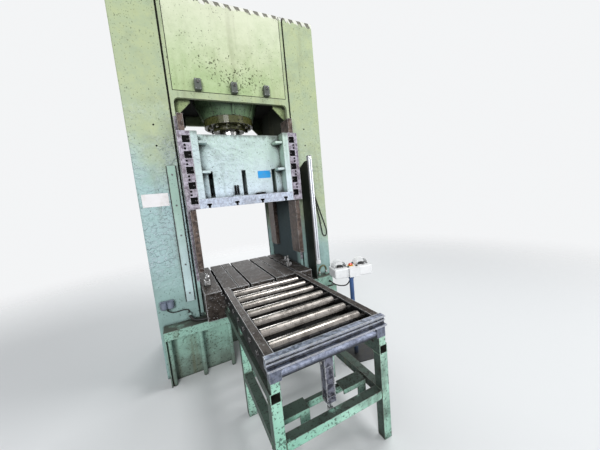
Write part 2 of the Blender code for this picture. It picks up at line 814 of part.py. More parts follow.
def make_step(side):
    """The tread at the foot of an upright: panel, tread plate, apron, pipes and end rib."""
    inner = STEP_INNER_X
    outer = STEP_OUTER_X
    back = FACE_Y - GAP
    x0, x1 = span(inner, STEP_PANEL_X, side)
    panel = block(
        side_name(side) + "_step",
        (x0, FACE_Y - STEP_PANEL_DEPTH, 0),
        (x1, back, STEP_TOP - STEP_PLATE / 2),
        "mint_green",
    )
    x0, x1 = span(inner, outer, side)
    tread = block("tread_" + side_name(side), (x0, STEP_FRONT, STEP_TOP - STEP_PLATE), (x1, back, STEP_TOP))
    apron = block(
        "apron_" + side_name(side),
        (x0, STEP_FRONT, STEP_TOP - STEP_APRON),
        (x1, STEP_FRONT + STEP_PLATE, STEP_TOP - STEP_PLATE / 2),
    )
    pipe_y = STEP_FRONT + STEP_PIPE_INSET
    height = STEP_TOP - STEP_PLATE / 2
    centres = [(side * x, pipe_y, height / 2) for x in STEP_PIPE_X]
    pipes = rods("step_pipes_" + side_name(side), centres, STEP_PIPE_RADIUS, height, "Z", 12)
    x0, x1 = span(outer - STEP_RIB, outer, side)
    rib = block("step_rib_" + side_name(side), (x0, STEP_FRONT + STEP_PLATE / 2, 0), (x1, back, height))
    join(panel, tread, apron, pipes, rib)
    return panel


# Cylinder


def make_cylinder():
    """Barrel, ribbed housing and gland, coaxial with the piston rod."""
    outer = BORE_RADIUS + BARREL_WALL
    barrel = [
        (0, BARREL_TOP),
        (outer, BARREL_TOP),
        (outer, GLAND_TOP + GAP),
        (BORE_RADIUS, GLAND_TOP + GAP),
        (BORE_RADIUS, BARREL_TOP - BARREL_CAP),
        (0, BARREL_TOP - BARREL_CAP),
    ]
    turned("cylinder_barrel", barrel, (0, AXIS_Y, 0), "dark_paint", 32)

    top = CROWN_BOTTOM - GAP
    bottom = GLAND_TOP + GAP
    bore = outer + GAP
    cone = [(HOUSING_TOP_RADIUS, top), (HOUSING_BOTTOM_RADIUS, bottom), (bore, bottom), (bore, top)]
    housing = turned("cylinder_housing", cone, (0, AXIS_Y, 0), "mint_green", 32)
    for i in range(HOUSING_RIBS):
        angle = 2 * math.pi * (i + 0.5) / HOUSING_RIBS - math.pi / 2 + math.pi / HOUSING_RIBS
        middle = (outer + HOUSING_BOTTOM_RADIUS) / 2
        loop = [
            (middle, bottom),
            (HOUSING_BOTTOM_RADIUS + RIB_STAND, bottom),
            (HOUSING_TOP_RADIUS + RIB_STAND, top),
            (middle, top),
        ]
        rib = extruded(f"housing_rib_{i}", [loop], RIB_THICKNESS, (0, 0, 0), "XZ")
        around_axis = Matrix.Translation((0, AXIS_Y, 0)) @ Matrix.Rotation(angle, 4, "Z")
        rib.matrix_world = around_axis @ rib.matrix_world
        join(housing, rib)

    inside = ROD_RADIUS + GUIDE_CLEARANCE
    gland_profile = [
        (GLAND_RADIUS, GLAND_TOP),
        (GLAND_RADIUS, GLAND_FLANGE_BOTTOM),
        (GLAND_NECK_RADIUS + 0.012, GLAND_FLANGE_BOTTOM),
        (GLAND_NECK_RADIUS, GLAND_FLANGE_BOTTOM - 0.012),
        (GLAND_NECK_RADIUS, GLAND_BOTTOM + 0.010),
        (GLAND_NECK_RADIUS - 0.010, GLAND_BOTTOM),
        (inside, GLAND_BOTTOM),
        (inside, GLAND_TOP),
    ]
    gland = turned("cylinder_gland", gland_profile, (0, AXIS_Y, 0), "olive", 32)
    pitch = (GLAND_RADIUS + GLAND_NECK_RADIUS) / 2
    heads = []
    for i in range(GLAND_BOLTS):
        angle = 2 * math.pi * (i + 0.5) / GLAND_BOLTS
        heads.append((pitch * math.cos(angle), AXIS_Y + pitch * math.sin(angle), GLAND_FLANGE_BOTTOM))
    join(gland, rods("gland_bolts", heads, GLAND_BOLT_RADIUS, 2 * GLAND_BOLT_HEIGHT, "Z", 6))


def make_piston_rod():
    """Rod with its bolted flange on the slide and its piston in the barrel."""
    piston_bottom = GLAND_TOP + SLIDE_DROP + 0.01
    seat = SLIDE_TOP + GAP
    profile = [
        (0, piston_bottom + PISTON_HEIGHT),
        (BORE_RADIUS - GUIDE_CLEARANCE, piston_bottom + PISTON_HEIGHT),
        (BORE_RADIUS - GUIDE_CLEARANCE, piston_bottom),
        (ROD_RADIUS, piston_bottom),
        (ROD_RADIUS, seat + ROD_FLANGE_HEIGHT),
        (ROD_FLANGE_RADIUS, seat + ROD_FLANGE_HEIGHT),
        (ROD_FLANGE_RADIUS, seat),
        (0, seat),
    ]
    return turned("piston_rod", profile, (0, AXIS_Y, 0), "bare_steel", 32)


# Slide and guides


def make_slide():
    """The welded slide: cheeks, recessed front plate with bolt slots, stiffeners and rod tube."""
    bottom = PLATEN_TOP + GAP
    top = SLIDE_TOP
    plate_y = SLIDE_FRONT + FRONT_PLATE_SETBACK
    inner = CHEEK_INNER + 0.01
    slide = block(
        "slide_body", (-inner, plate_y, bottom), (inner, plate_y + SLIDE_WALL, top), "slide_green"
    )
    for side in (-1, 1):
        name = side_name(side)
        x0, x1 = span(CHEEK_INNER, SLIDE_HALF, side)
        cheek = block("cheek_" + name, (x0, SLIDE_FRONT, bottom), (x1, SLIDE_REAR, top))
        bars = []
        for level in STIFFENER_LEVELS:
            z = SLIDE_BOTTOM + level
            x0, x1 = span(CHEEK_INNER - STIFFENER_LENGTH, CHEEK_INNER + 0.01, side)
            bars.append(((x0, SLIDE_FRONT + 0.012, z), (x1, plate_y + 0.010, z + STIFFENER_HEIGHT)))
        join(slide, cheek, blocks("stiffeners_" + name, bars))
        x0, x1 = span(CHEEK_INNER + 0.01, HALF_WINDOW - 0.002, side)
        keeper_y = RAIL_REAR_BACK + GUIDE_CLEARANCE
        keeper = block("rear_keeper_" + name, (x0, keeper_y, bottom), (x1, SLIDE_REAR, top))
        x0, x1 = span(CHEEK_INNER + 0.01, RAIL_INNER - GUIDE_CLEARANCE, side)
        shoe_y = RAIL_REAR_BACK - RAIL_STAND - RAIL_SEAT
        shoe = block("rear_shoe_" + name, (x0, shoe_y, bottom), (x1, SLIDE_REAR - 0.002, top))
        join(slide, keeper, shoe)
    wall_front = plate_y + SLIDE_WALL / 2
    floor_plate = block(
        "slide_floor", (-inner, wall_front, bottom), (inner, SLIDE_REAR - 0.004, bottom + SLIDE_WALL)
    )
    roof_plate = block("slide_roof", (-inner, wall_front, top - SLIDE_WALL), (inner, SLIDE_REAR - 0.004, top))
    rear_plate = block(
        "slide_back", (-inner, SLIDE_REAR - SLIDE_WALL, bottom), (inner, SLIDE_REAR - 0.003, top)
    )
    half_wall = SLIDE_WALL / 2
    cross_web = block(
        "slide_web", (-inner, AXIS_Y - half_wall, bottom), (inner, AXIS_Y + half_wall, top - half_wall)
    )
    tube = rods(
        "slide_tube", [(0, AXIS_Y, (bottom + top) / 2)], ROD_TUBE_RADIUS, top - bottom - SLIDE_WALL, "Z", 24
    )
    pins = [(x, plate_y - 0.012, bottom + PIN_HEIGHT / 2) for x in PIN_X]
    join(slide, floor_plate, roof_plate, rear_plate, cross_web, tube)
    pin_block = block(
        "pin_block",
        (PIN_X[0] - PIN_BLOCK_END, plate_y - PIN_BLOCK_DEPTH, bottom),
        (PIN_X[1] + PIN_BLOCK_END, plate_y + SLIDE_WALL / 2, bottom + PIN_BLOCK_HEIGHT),
    )
    join(slide, pin_block)
    join(slide, rods("slide_pins", pins, PIN_RADIUS, PIN_HEIGHT, "Z", 8))
    slots = []
    for i in (-1, 0, 1):
        x = i * (CHEEK_INNER - SLIDE_SLOT_EDGE)
        slots.append(
            (
                (x - SLIDE_SLOT_WIDTH / 2, plate_y - 0.05, bottom + 0.008),
                (x + SLIDE_SLOT_WIDTH / 2, plate_y + SLIDE_WALL + 0.05, bottom + SLIDE_SLOT_HEIGHT),
            )
        )
    cut(slide, blocks("slide_slots", slots))
    middle = (bottom + top) / 2
    web_holes = [(side * WEB_HOLE_X, AXIS_Y, middle) for side in (-1, 1)]
    cut(slide, rods("web_holes", web_holes, WEB_HOLE_RADIUS, 2 * SLIDE_WALL, "Y", 16))
    return slide


def make_platen():
    """The bare clamping plate under the slide, with T-slots from front to back."""
    platen = block(
        "slide_platen",
        (-SLIDE_HALF, SLIDE_FRONT, SLIDE_BOTTOM),
        (SLIDE_HALF, SLIDE_REAR, PLATEN_TOP),
        "bare_steel",
    )
    cut(platen, *slot_cutter("platen_slots", SLIDE_BOTTOM, 1, SLIDE_FRONT - 0.05, SLIDE_REAR + 0.05))
    return platen


def make_guide_plate(side):
    """An L-shaped guide plate that wraps the front rail, with its setting windows."""
    inner = SLIDE_HALF + GAP
    loop = [
        (inner, SLIDE_FRONT),
        (GUIDE_OUTER, SLIDE_FRONT),
        (GUIDE_OUTER, RAIL_FRONT - GUIDE_CLEARANCE),
        (RAIL_INNER - GUIDE_CLEARANCE, RAIL_FRONT - GUIDE_CLEARANCE),
        (RAIL_INNER - GUIDE_CLEARANCE, FACE_Y + RAIL_SEAT),
        (inner, FACE_Y + RAIL_SEAT),
    ]
    name = "guide_plate_" + side_name(side)
    middle = (0, 0, (SLIDE_BOTTOM + SLIDE_TOP) / 2)
    plate = extruded(name, [mirrored(loop, side)], SLIDE_HEIGHT, middle, "XY", "bare_steel")
    depth = RAIL_FRONT - GUIDE_CLEARANCE - SLIDE_FRONT
    windows = []
    bolts = []
    for i in range(GUIDE_WINDOWS):
        z = SLIDE_BOTTOM + GUIDE_WINDOW_FIRST + i * GUIDE_WINDOW_PITCH
        x = side * (GUIDE_OUTER - GUIDE_WINDOW_INSET)
        half = GUIDE_WINDOW / 2
        windows.append(
            ((x - half, SLIDE_FRONT - 0.02, z - half), (x + half, SLIDE_FRONT + 0.7 * depth, z + half))
        )
        if i < GUIDE_WINDOWS - 1:
            gap_middle = z + GUIDE_WINDOW_PITCH / 2
            for shift in (-GUIDE_BOLT_SPREAD / 2, GUIDE_BOLT_SPREAD / 2):
                bolts.append((side * (GUIDE_OUTER - GUIDE_BOLT_INSET), SLIDE_FRONT, gap_middle + shift))
    cut(plate, blocks("guide_windows_" + side_name(side), windows))
    cut(plate, rods("guide_bolt_holes_" + side_name(side), bolts, GUIDE_BOLT_RADIUS, depth, "Y", 8))
    return plate


def make_rails():
    """Four square guide rails on the uprights' inner walls."""
    for side in (-1, 1):
        x0, x1 = span(RAIL_INNER, HALF_WINDOW - GAP, side)
        rail = block(
            "gib_rail_front_" + side_name(side),
            (x0, RAIL_FRONT, RAIL_BOTTOM),
            (x1, FACE_Y + RAIL_SEAT, RAIL_TOP),
            "greasy_brown",
        )
        middle = side * (RAIL_INNER + HALF_WINDOW) / 2
        stop = rods(
            "rail_stop_" + side_name(side),
            [(middle, RAIL_FRONT, RAIL_BOTTOM + RAIL_STOP_RADIUS)],
            RAIL_STOP_RADIUS,
            2 * RAIL_STOP_THICKNESS,
            "Y",
            16,
        )
        join(rail, stop)
        block(
            "gib_rail_rear_" + side_name(side),
            (x0, RAIL_REAR_BACK - RAIL_STAND - RAIL_SEAT, RAIL_BOTTOM),
            (x1, RAIL_REAR_BACK, RAIL_TOP),
            "greasy_brown",
        )
        x0, x1 = span(HALF_WINDOW + GAP, HALF_WINDOW + STRIP_WIDTH, side)
        block(
            "edge_strip_" + side_name(side),
            (x0, FACE_Y - STRIP_THICKNESS - GAP, STRIP_BOTTOM),
            (x1, FACE_Y - GAP, RAIL_TOP),
            "bare_steel",
        )


# Fittings on the frame


def make_switch_box(label, x):
    """A small cast switch box with a round cap on its face."""
    half = SWITCH_WIDTH / 2
    bottom = COVER_BOTTOM + SEAM + SWITCH_ABOVE_SEAM
    face = FACE_Y - GAP - SWITCH_DEPTH
    top = bottom + SWITCH_HEIGHT
    box = block("switch_box_" + label, (x - half, face, bottom), (x + half, FACE_Y - GAP, top), "grey_box")
    edge = box.modifiers.new("Cast edges", "BEVEL")
    edge.width = SWITCH_EDGE
    edge.segments = 2
    cap_centre = (x, face, bottom + SWITCH_CAP_SHARE * SWITCH_HEIGHT)
    cap = rods("switch_cap_" + label, [cap_centre], SWITCH_CAP_RADIUS, 2 * SWITCH_CAP_DEPTH, "Y", 12)
    join(box, cap)
    return box


def make_guards():
    """The flat guard bar on the left upright, and the wing with the light curtain on the right."""
    bar = block(
        "guard_bar_left",
        (-GUARD_X - GUARD_WIDTH / 2, FACE_Y - GAP - GUARD_THICKNESS, GUARD_BOTTOM),
        (-GUARD_X + GUARD_WIDTH / 2, FACE_Y - GAP, GUARD_TOP),
        "mint_green",
    )
    edge = bar.modifiers.new("Edges", "BEVEL")
    edge.width = 0.003
    edge.segments = 1

    back = FACE_Y - GAP
    loop = [
        (WING_X + WING_THICKNESS, FACE_Y - WING_DEPTH),
        (WING_X + WING_THICKNESS, back - WING_THICKNESS),
        (WING_X + WING_FLANGE, back - WING_THICKNESS),
        (WING_X + WING_FLANGE, back),
        (WING_X, back),
        (WING_X, FACE_Y - WING_DEPTH),
    ]
    height = WING_TOP - WING_BOTTOM
    wing = extruded(
        "guard_wing_right", [loop], height, (0, 0, (WING_BOTTOM + WING_TOP) / 2), "XY", "dark_paint"
    )
    above = WING_TOP + CUT_PAST
    corner_cut = [
        (FACE_Y - WING_DEPTH - CUT_PAST, above),
        (FACE_Y + CUT_PAST, above),
        (FACE_Y + CUT_PAST, WING_TOP - WING_SLOPE),
    ]
    slope = extruded("wing_slope", [corner_cut], WING_DEPTH, (WING_X, 0, 0), "YZ")
    cut(wing, slope)

    x0 = WING_X + WING_THICKNESS + GAP
    y0 = FACE_Y - WING_DEPTH - CURTAIN_DEPTH / 2
    g = CURTAIN_GROOVE / 2
    section = [
        (x0, y0, 0.004),
        (x0 + CURTAIN_WIDTH / 2 - g, y0, 0),
        (x0 + CURTAIN_WIDTH / 2 - g, y0 + g, 0),
        (x0 + CURTAIN_WIDTH / 2 + g, y0 + g, 0),
        (x0 + CURTAIN_WIDTH / 2 + g, y0, 0),
        (x0 + CURTAIN_WIDTH, y0, 0.004),
        (x0 + CURTAIN_WIDTH, y0 + CURTAIN_DEPTH, 0.004),
        (x0, y0 + CURTAIN_DEPTH, 0.004),
    ]
    middle = (0, 0, (CURTAIN_BOTTOM + CURTAIN_TOP) / 2)
    height = CURTAIN_TOP - CURTAIN_BOTTOM
    extruded("light_curtain", [rounded_loop(section, 3)], height, middle, "XY", "aluminium")

    plug_x = x0 + PLUG_RADIUS + 0.001
    plug = [
        (0, CURTAIN_BOTTOM - GAP),
        (PLUG_RADIUS * 0.6, CURTAIN_BOTTOM - GAP),
        (PLUG_RADIUS, CURTAIN_BOTTOM - GAP - 0.2 * PLUG_LENGTH),
        (PLUG_RADIUS, CURTAIN_BOTTOM - GAP - 0.8 * PLUG_LENGTH),
        (PLUG_RADIUS * 0.6, CURTAIN_BOTTOM - GAP - PLUG_LENGTH),
        (0, CURTAIN_BOTTOM - GAP - PLUG_LENGTH),
    ]
    turned("curtain_plug", plug, (plug_x, y0 + CURTAIN_DEPTH / 2, 0), "white_paint", 16)


def make_curtain_cable():
    """The curtain's cable: from a gland on the upright's face it hangs in one long loop."""
    x = WING_X + WING_FLANGE + CABLE_STAND
    y = FACE_Y - CABLE_RADIUS - 0.001
    z = CLIP_BOTTOM
    route = [
        (x, y, z - GAP),
        (x, y, z - 0.025),
        (x + 0.024, y, z - 0.080),
        (x + 0.062, y, z - 0.200),
        (x + 0.100, y, z - 0.330),
        (x + 0.140, y, z - 0.460),
        (x + 0.172, y, z - 0.570),
        (x + 0.180, y, z - 0.625),
        (x + 0.168, y, z - 0.662),
        (x + 0.140, y, z - 0.672),
        (x + 0.115, y, z - 0.640),
        (x + 0.103, y, z - 0.560),
        (x + 0.088, y, z - 0.440),
        (x + 0.066, y, z - 0.320),
        (x + 0.046, y - 0.002, z - 0.220),
        (x + 0.028, y - 0.008, z - 0.150),
        (x + 0.010, y - 0.018, z - 0.086),
        (x - 0.004, y - 0.034, z - 0.041),
        (x - 0.005, y - 0.036, z - 0.020),
        (x - 0.005, y - 0.036, z - GAP),
    ]
    hose("curtain_cable", route, CABLE_RADIUS, "black_rubber")


def make_socket_pair():
    """Two round cable sockets side by side on a base plate, on the left upright."""
    back = FACE_Y - GAP
    width = 4.2 * SOCKET_RADIUS
    plate = block(
        "socket_pair",
        (-SOCKET_X - width / 2, back - SOCKET_PLATE, SOCKET_Z - 0.005),
        (-SOCKET_X + width / 2, back, SOCKET_Z + SOCKET_HEIGHT + 0.005),
        "grey_box",
    )
    y = back - SOCKET_RADIUS
    for i in (-1, 1):
        x = -SOCKET_X + i * 1.03 * SOCKET_RADIUS
        profile = [
            (0, SOCKET_Z + SOCKET_HEIGHT - 0.01),
            (SOCKET_RADIUS - 0.006, SOCKET_Z + SOCKET_HEIGHT - 0.01),
            (SOCKET_RADIUS - 0.004, SOCKET_Z + SOCKET_HEIGHT),
            (SOCKET_RADIUS, SOCKET_Z + SOCKET_HEIGHT),
            (SOCKET_RADIUS, SOCKET_Z + 0.008),
            (SOCKET_RADIUS - 0.008, SOCKET_Z),
            (0, SOCKET_Z),
        ]
        join(plate, turned(f"socket_{i + 2}", profile, (x, y - 0.004, 0), None, 16))
    return plate


def make_left_hoses():
    """The socket's cable to its clip, and the drain hose that follows the step to the bed."""
    y = FACE_Y - CABLE_RADIUS - 0.0015
    cable = [
        (-SOCKET_X, y - 0.026, SOCKET_Z - 0.005 - GAP),
        (-SOCKET_X, y - 0.026, SOCKET_Z - 0.018),
        (-SOCKET_X + 0.020, y - 0.012, SOCKET_Z - 0.045),
        (-SOCKET_X + 0.060, y, SOCKET_Z - 0.062),
        (-SOCKET_X + 0.110, y, SOCKET_Z - 0.060),
        (-SOCKET_X + 0.150, y, SOCKET_Z - 0.060),
        (-SOCKET_X + 0.182, y, SOCKET_Z - 0.069),
        (-SOCKET_X + 0.190, y, SOCKET_Z - 0.085),
        (-SOCKET_X + 0.190, y, SOCKET_Z - 0.100 + GAP),
    ]
    hose("socket_cable", cable, SOCKET_CABLE_RADIUS, "black_rubber")
    clip_x, clip_top, _, clip_height, _ = CABLE_CLIPS[-1]
    outlet = clip_top - clip_height
    tread = STEP_TOP + DRAIN_RADIUS + 0.0005
    drain_y = FACE_Y - DRAIN_RADIUS - 0.004
    drain = [
        (clip_x, drain_y - 0.004, outlet - GAP),
        (clip_x, drain_y - 0.004, outlet - 0.012),
        (clip_x + 0.014, drain_y - 0.030, tread + 0.020),
        (clip_x + 0.040, drain_y - 0.060, tread + 0.003),
        (clip_x + 0.085, drain_y - 0.090, tread),
        (clip_x + 0.140, drain_y - 0.105, tread),
        (clip_x + 0.190, drain_y - 0.100, tread),
        (clip_x + 0.235, drain_y - 0.080, tread),
        (clip_x + 0.260, drain_y - 0.050, tread),
        (clip_x + 0.268, drain_y - 0.020, tread),
        (clip_x + 0.268, FACE_Y - 0.0008, tread),
    ]
    hose("drain_hose", drain, DRAIN_RADIUS, "black_rubber")


def make_valve_block():
    """The valve block on the right step, with its ports, and the hose bent over it."""
    x0 = VALVE_X - VALVE_WIDTH / 2
    back = FACE_Y - VALVE_BACK_SPACE
    front = back - VALVE_DEPTH
    base = STEP_TOP + GAP
    valve = block(
        "valve_block", (x0, front, base), (x0 + VALVE_WIDTH, back, base + VALVE_HEIGHT), "mint_green"
    )
    edge = valve.modifiers.new("Edges", "BEVEL")
    edge.width = 0.005
    edge.segments = 1
    top = base + VALVE_HEIGHT
    y = front + VALVE_DEPTH / 2
    places = [x0 + VALVE_WIDTH * share for share in (0.45, 0.82)]
    ports = rods("valve_ports", [(x, y, top) for x in places], PORT_RADIUS, 2 * PORT_HEIGHT, "Z", 6)
    join(valve, ports)
    seat = top + PORT_HEIGHT + GAP
    a, b = places
    route = [
        (a, y, seat),
        (a, y, seat + 0.030),
        (a + 0.012, y - 0.006, seat + 0.075),
        (a + 0.045, y - 0.008, seat + 0.098),
        (b - 0.018, y - 0.006, seat + 0.085),
        (b, y, seat + 0.030),
        (b, y, seat),
    ]
    hose("valve_hose", route, VALVE_HOSE_RADIUS, "olive", HOSE_STEP_SHORT)
    return valve


def make_die_clamp(label, x, y, turn):
    """A clamp on a T-slot: base, stud, arm and nut, its arm turned about the stud."""
    base_z = BOLSTER_TOP + GAP
    arm_z = base_z + CLAMP_BASE_HEIGHT
    clamp = block(
        "die_clamp_" + label,
        (x - CLAMP_BASE_WIDTH / 2, y - CLAMP_BASE_DEPTH / 2, base_z),
        (x + CLAMP_BASE_WIDTH / 2, y + CLAMP_BASE_DEPTH / 2, arm_z),
        "bare_steel",
    )
    edge = clamp.modifiers.new("Edges", "BEVEL")
    edge.width = 0.004
    edge.segments = 1
    half = CLAMP_ARM_WIDTH / 2
    corners = [
        (-half, -half, half * 0.9),
        (CLAMP_ARM_LENGTH - half, -half * 0.7, half * 0.6),
        (CLAMP_ARM_LENGTH - half, half * 0.7, half * 0.6),
        (-half, half, half * 0.9),
    ]
    loop = []
    for point in rounded_loop(corners, 3):
        point.rotate(Matrix.Rotation(turn, 2))
        loop.append((x + point.x, y + point.y))
    arm_middle = (0, 0, arm_z + CLAMP_ARM_HEIGHT / 2 - 0.001)
    arm = extruded("clamp_arm_" + label, [loop], CLAMP_ARM_HEIGHT + 0.002, arm_middle, "XY")
    stud = rods(
        "clamp_stud_" + label,
        [(x, y, base_z + CLAMP_BASE_HEIGHT / 2 + CLAMP_STUD_HEIGHT / 2)],
        CLAMP_STUD_RADIUS,
        CLAMP_STUD_HEIGHT - CLAMP_BASE_HEIGHT,
        "Z",
        12,
    )
    nut = rods(
        "clamp_nut_" + label,
        [(x, y, arm_z + CLAMP_ARM_HEIGHT + CLAMP_NUT_HEIGHT / 2 - 0.001)],
        CLAMP_NUT_RADIUS,
        CLAMP_NUT_HEIGHT,
        "Z",
        6,
    )
    join(clamp, arm, stud, nut)
    return clamp


# Roller table


def roller_places():
    """Y of each roller, from the press outwards."""
    return [FACE_Y - ROLLER_FIRST - i * ROLLER_PITCH for i in range(ROLLER_COUNT)]


def make_side_rail(side):
    """A channel with its flanges inwards. The left one carries the rollers' fixed axles."""
    rear = BOLSTER_FRONT - GAP
    front = TABLE_FRONT + BAR_DEPTH + GAP
    bottom = SIDE_RAIL_TOP - SIDE_RAIL_HEIGHT
    wall = SIDE_RAIL_WALL
    loop = [
        (TABLE_HALF, bottom),
        (TABLE_HALF, SIDE_RAIL_TOP),
        (TABLE_HALF - SIDE_RAIL_FLANGE, SIDE_RAIL_TOP),
        (TABLE_HALF - SIDE_RAIL_FLANGE, SIDE_RAIL_TOP - wall),
        (TABLE_HALF - wall, SIDE_RAIL_TOP - wall),
        (TABLE_HALF - wall, bottom + wall),
        (TABLE_HALF - SIDE_RAIL_FLANGE, bottom + wall),
        (TABLE_HALF - SIDE_RAIL_FLANGE, bottom),
    ]
    rail = extruded(
        "side_rail_" + side_name(side),
        [mirrored(loop, side)],
        rear - front,
        (0, (front + rear) / 2, 0),
        "XZ",
        "oily_steel",
    )
    heads = [(side * (TABLE_HALF + AXLE_HEAD / 2 - 0.001), y, ROLLER_Z) for y in roller_places()]
    head_bar = rods("axle_heads_" + side_name(side), heads, AXLE_HEAD_RADIUS, AXLE_HEAD, "X", 6)
    if side < 0:
        reach = TABLE_HALF - wall - GAP
        start = -TABLE_HALF + wall / 2
        centres = [((start + reach) / 2, y, ROLLER_Z) for y in roller_places()]
        axles = rods("axles", centres, AXLE_RADIUS, reach - start, "X", 12)
        join(rail, axles)
    join(rail, head_bar)
    return rail


def make_roller(index, y):
    """A tube roller that turns on its axle."""
    bore = AXLE_RADIUS + AXLE_CLEARANCE
    half = ROLLER_HALF
    profile = [
        (ROLLER_RADIUS - ROLLER_CHAMFER, half),
        (ROLLER_RADIUS, half - ROLLER_CHAMFER),
        (ROLLER_RADIUS, -half + ROLLER_CHAMFER),
        (ROLLER_RADIUS - ROLLER_CHAMFER, -half),
        (bore, -half),
        (bore, half),
    ]
    return turned(f"roller_{index}", profile, (0, y, ROLLER_Z), "roller_steel", 24, "X")


def make_front_bar():
    """The lipped stop bar across the table's front end, and the tube below it."""
    front = TABLE_FRONT
    back = front + BAR_DEPTH
    web = front + BAR_BACK
    top = SIDE_RAIL_TOP + 0.003
    lip = BAR_LIP
    recess = BAR_RECESS
    middle = (top + BAR_BOTTOM) / 2
    loop = [
        (back, BAR_BOTTOM),
        (back, top),
        (web, top),
        (web, top - lip),
        (web + recess, top - lip),
        (web + recess, middle + lip / 2),
        (web + lip / 2, middle + lip / 2),
        (web + lip / 2, middle - lip / 2),
        (web + recess, middle - lip / 2),
        (web + recess, BAR_BOTTOM + lip),
        (front, BAR_BOTTOM + lip),
        (front, BAR_BOTTOM),
    ]
    extruded("stop_bar", [loop], 2 * TABLE_HALF + 0.02, (0, 0, 0), "YZ", "bare_steel")
    tube = rods(
        "front_tube",
        [(0, front + BAR_BACK + TUBE_RADIUS, TUBE_CENTRE_Z)],
        TUBE_RADIUS,
        2 * ROLLER_HALF,
        "X",
        24,
        "bare_steel",
    )
    plates = []
    for side in (-1, 1):
        x0, x1 = span(ROLLER_HALF - 0.002, TABLE_HALF, side)
        plates.append(
            (
                (x0, front + 0.012, STAND_BEAM_TOP + POST_HEIGHT + GAP),
                (x1, back - GAP, BAR_BOTTOM - GAP),
            )
        )
    ends = blocks("tube_ends", plates)
    join(tube, ends)
    return tube


def make_stand():
    """The welded tube stand: legs, beams with open ends, stretchers and the shelf brackets."""
    half = STAND_TUBE / 2
    front_leg = TABLE_FRONT + BAR_BACK + half
    rear_leg = front_leg + STAND_REAR_LEG
    beam_rear = BOLSTER_FRONT - GAP
    beam_bottom = STAND_BEAM_TOP - STAND_TUBE
    stretcher_low = STRETCHER_TOP - STRETCHER_HEIGHT
    x_leg = STAND_LEG_X
    stand = block(
        "table_stand",
        (-x_leg - half, front_leg - half, 0),
        (-x_leg + half, front_leg + half, beam_bottom + STAND_WALL / 2),
        "mint_green",
    )
    legs = []
    for x, y in ((x_leg, front_leg), (-x_leg, rear_leg), (x_leg, rear_leg)):
        legs.append(((x - half, y - half, 0), (x + half, y + half, beam_bottom + STAND_WALL / 2)))
    beams = []
    hollows = []
    posts = []
    rails = []
    for side in (-1, 1):
        x = side * x_leg
        beams.append(((x - half, front_leg - half, beam_bottom), (x + half, beam_rear, STAND_BEAM_TOP)))
        inner = half - STAND_WALL
        hollows.append(
            (
                (x - inner, front_leg - half - 0.05, beam_bottom + STAND_WALL),
                (x + inner, beam_rear + 0.05, STAND_BEAM_TOP - STAND_WALL),
            )
        )
        rails.append(((x - half, front_leg, stretcher_low), (x + half, rear_leg, STRETCHER_TOP)))
        rail_bottom = SIDE_RAIL_TOP - SIDE_RAIL_HEIGHT - GAP
        x0, x1 = span(TABLE_HALF - SIDE_RAIL_FLANGE, TABLE_HALF, side)
        for y in (rear_leg, beam_rear - 0.10):
            posts.append(((x0, y - half, STAND_BEAM_TOP - 0.002), (x1, y + half, rail_bottom)))
        tube_end_bottom = STAND_BEAM_TOP + POST_HEIGHT
        low = (x0, front_leg - half, STAND_BEAM_TOP - 0.002)
        posts.append((low, (x1, front_leg + half - 0.01, tube_end_bottom)))
    cross = [
        ((-x_leg, front_leg - half + 0.001, stretcher_low), (x_leg, front_leg + half - 0.001, STRETCHER_TOP)),
        ((-x_leg, rear_leg - half + 0.001, stretcher_low), (x_leg, rear_leg + half - 0.001, STRETCHER_TOP)),
    ]
    member_y = front_leg + MEMBER_SETBACK
    member = block(
        "stand_member",
        (-x_leg, member_y - half / 2, stretcher_low),
        (x_leg, member_y + half / 2, STRETCHER_TOP - MEMBER_BELOW),
    )
    join(stand, blocks("stand_legs", legs), blocks("stand_beams", beams), blocks("stand_side_rails", rails))
    join(stand, blocks("stand_cross", cross), member, blocks("stand_posts", posts))
    for side in (-1, 1):
        x = side * SHELF_X
        top = STRETCHER_TOP + 0.012
        y1 = member_y + half / 2
        y0 = y1 - SHELF_DEPTH
        low, high = x - SHELF_WIDTH / 2, x + SHELF_WIDTH / 2
        shelf = block("shelf_" + side_name(side), (low, y0, top - SHELF_PLATE), (high, y1, top))
        lip = block(
            "shelf_lip_" + side_name(side),
            (low, y0, top - SHELF_LIP),
            (high, y0 + SHELF_PLATE, top - SHELF_PLATE / 2),
        )
        heel = block(
            "shelf_heel_" + side_name(side),
            (low + 0.01, y1 - 0.028, top - 0.03),
            (high - 0.01, y1 - 0.004, top - 0.004),
        )
        tab = block(
            "shelf_tab_" + side_name(side),
            (high - SHELF_TAB_WIDTH, y0 + 0.001, top - SHELF_TAB_HEIGHT),
            (high, y0 + 0.007, top - SHELF_LIP / 2),
        )
        join(stand, shelf, lip, heel, tab)
    cut(stand, blocks("beam_hollows", hollows))
    return stand


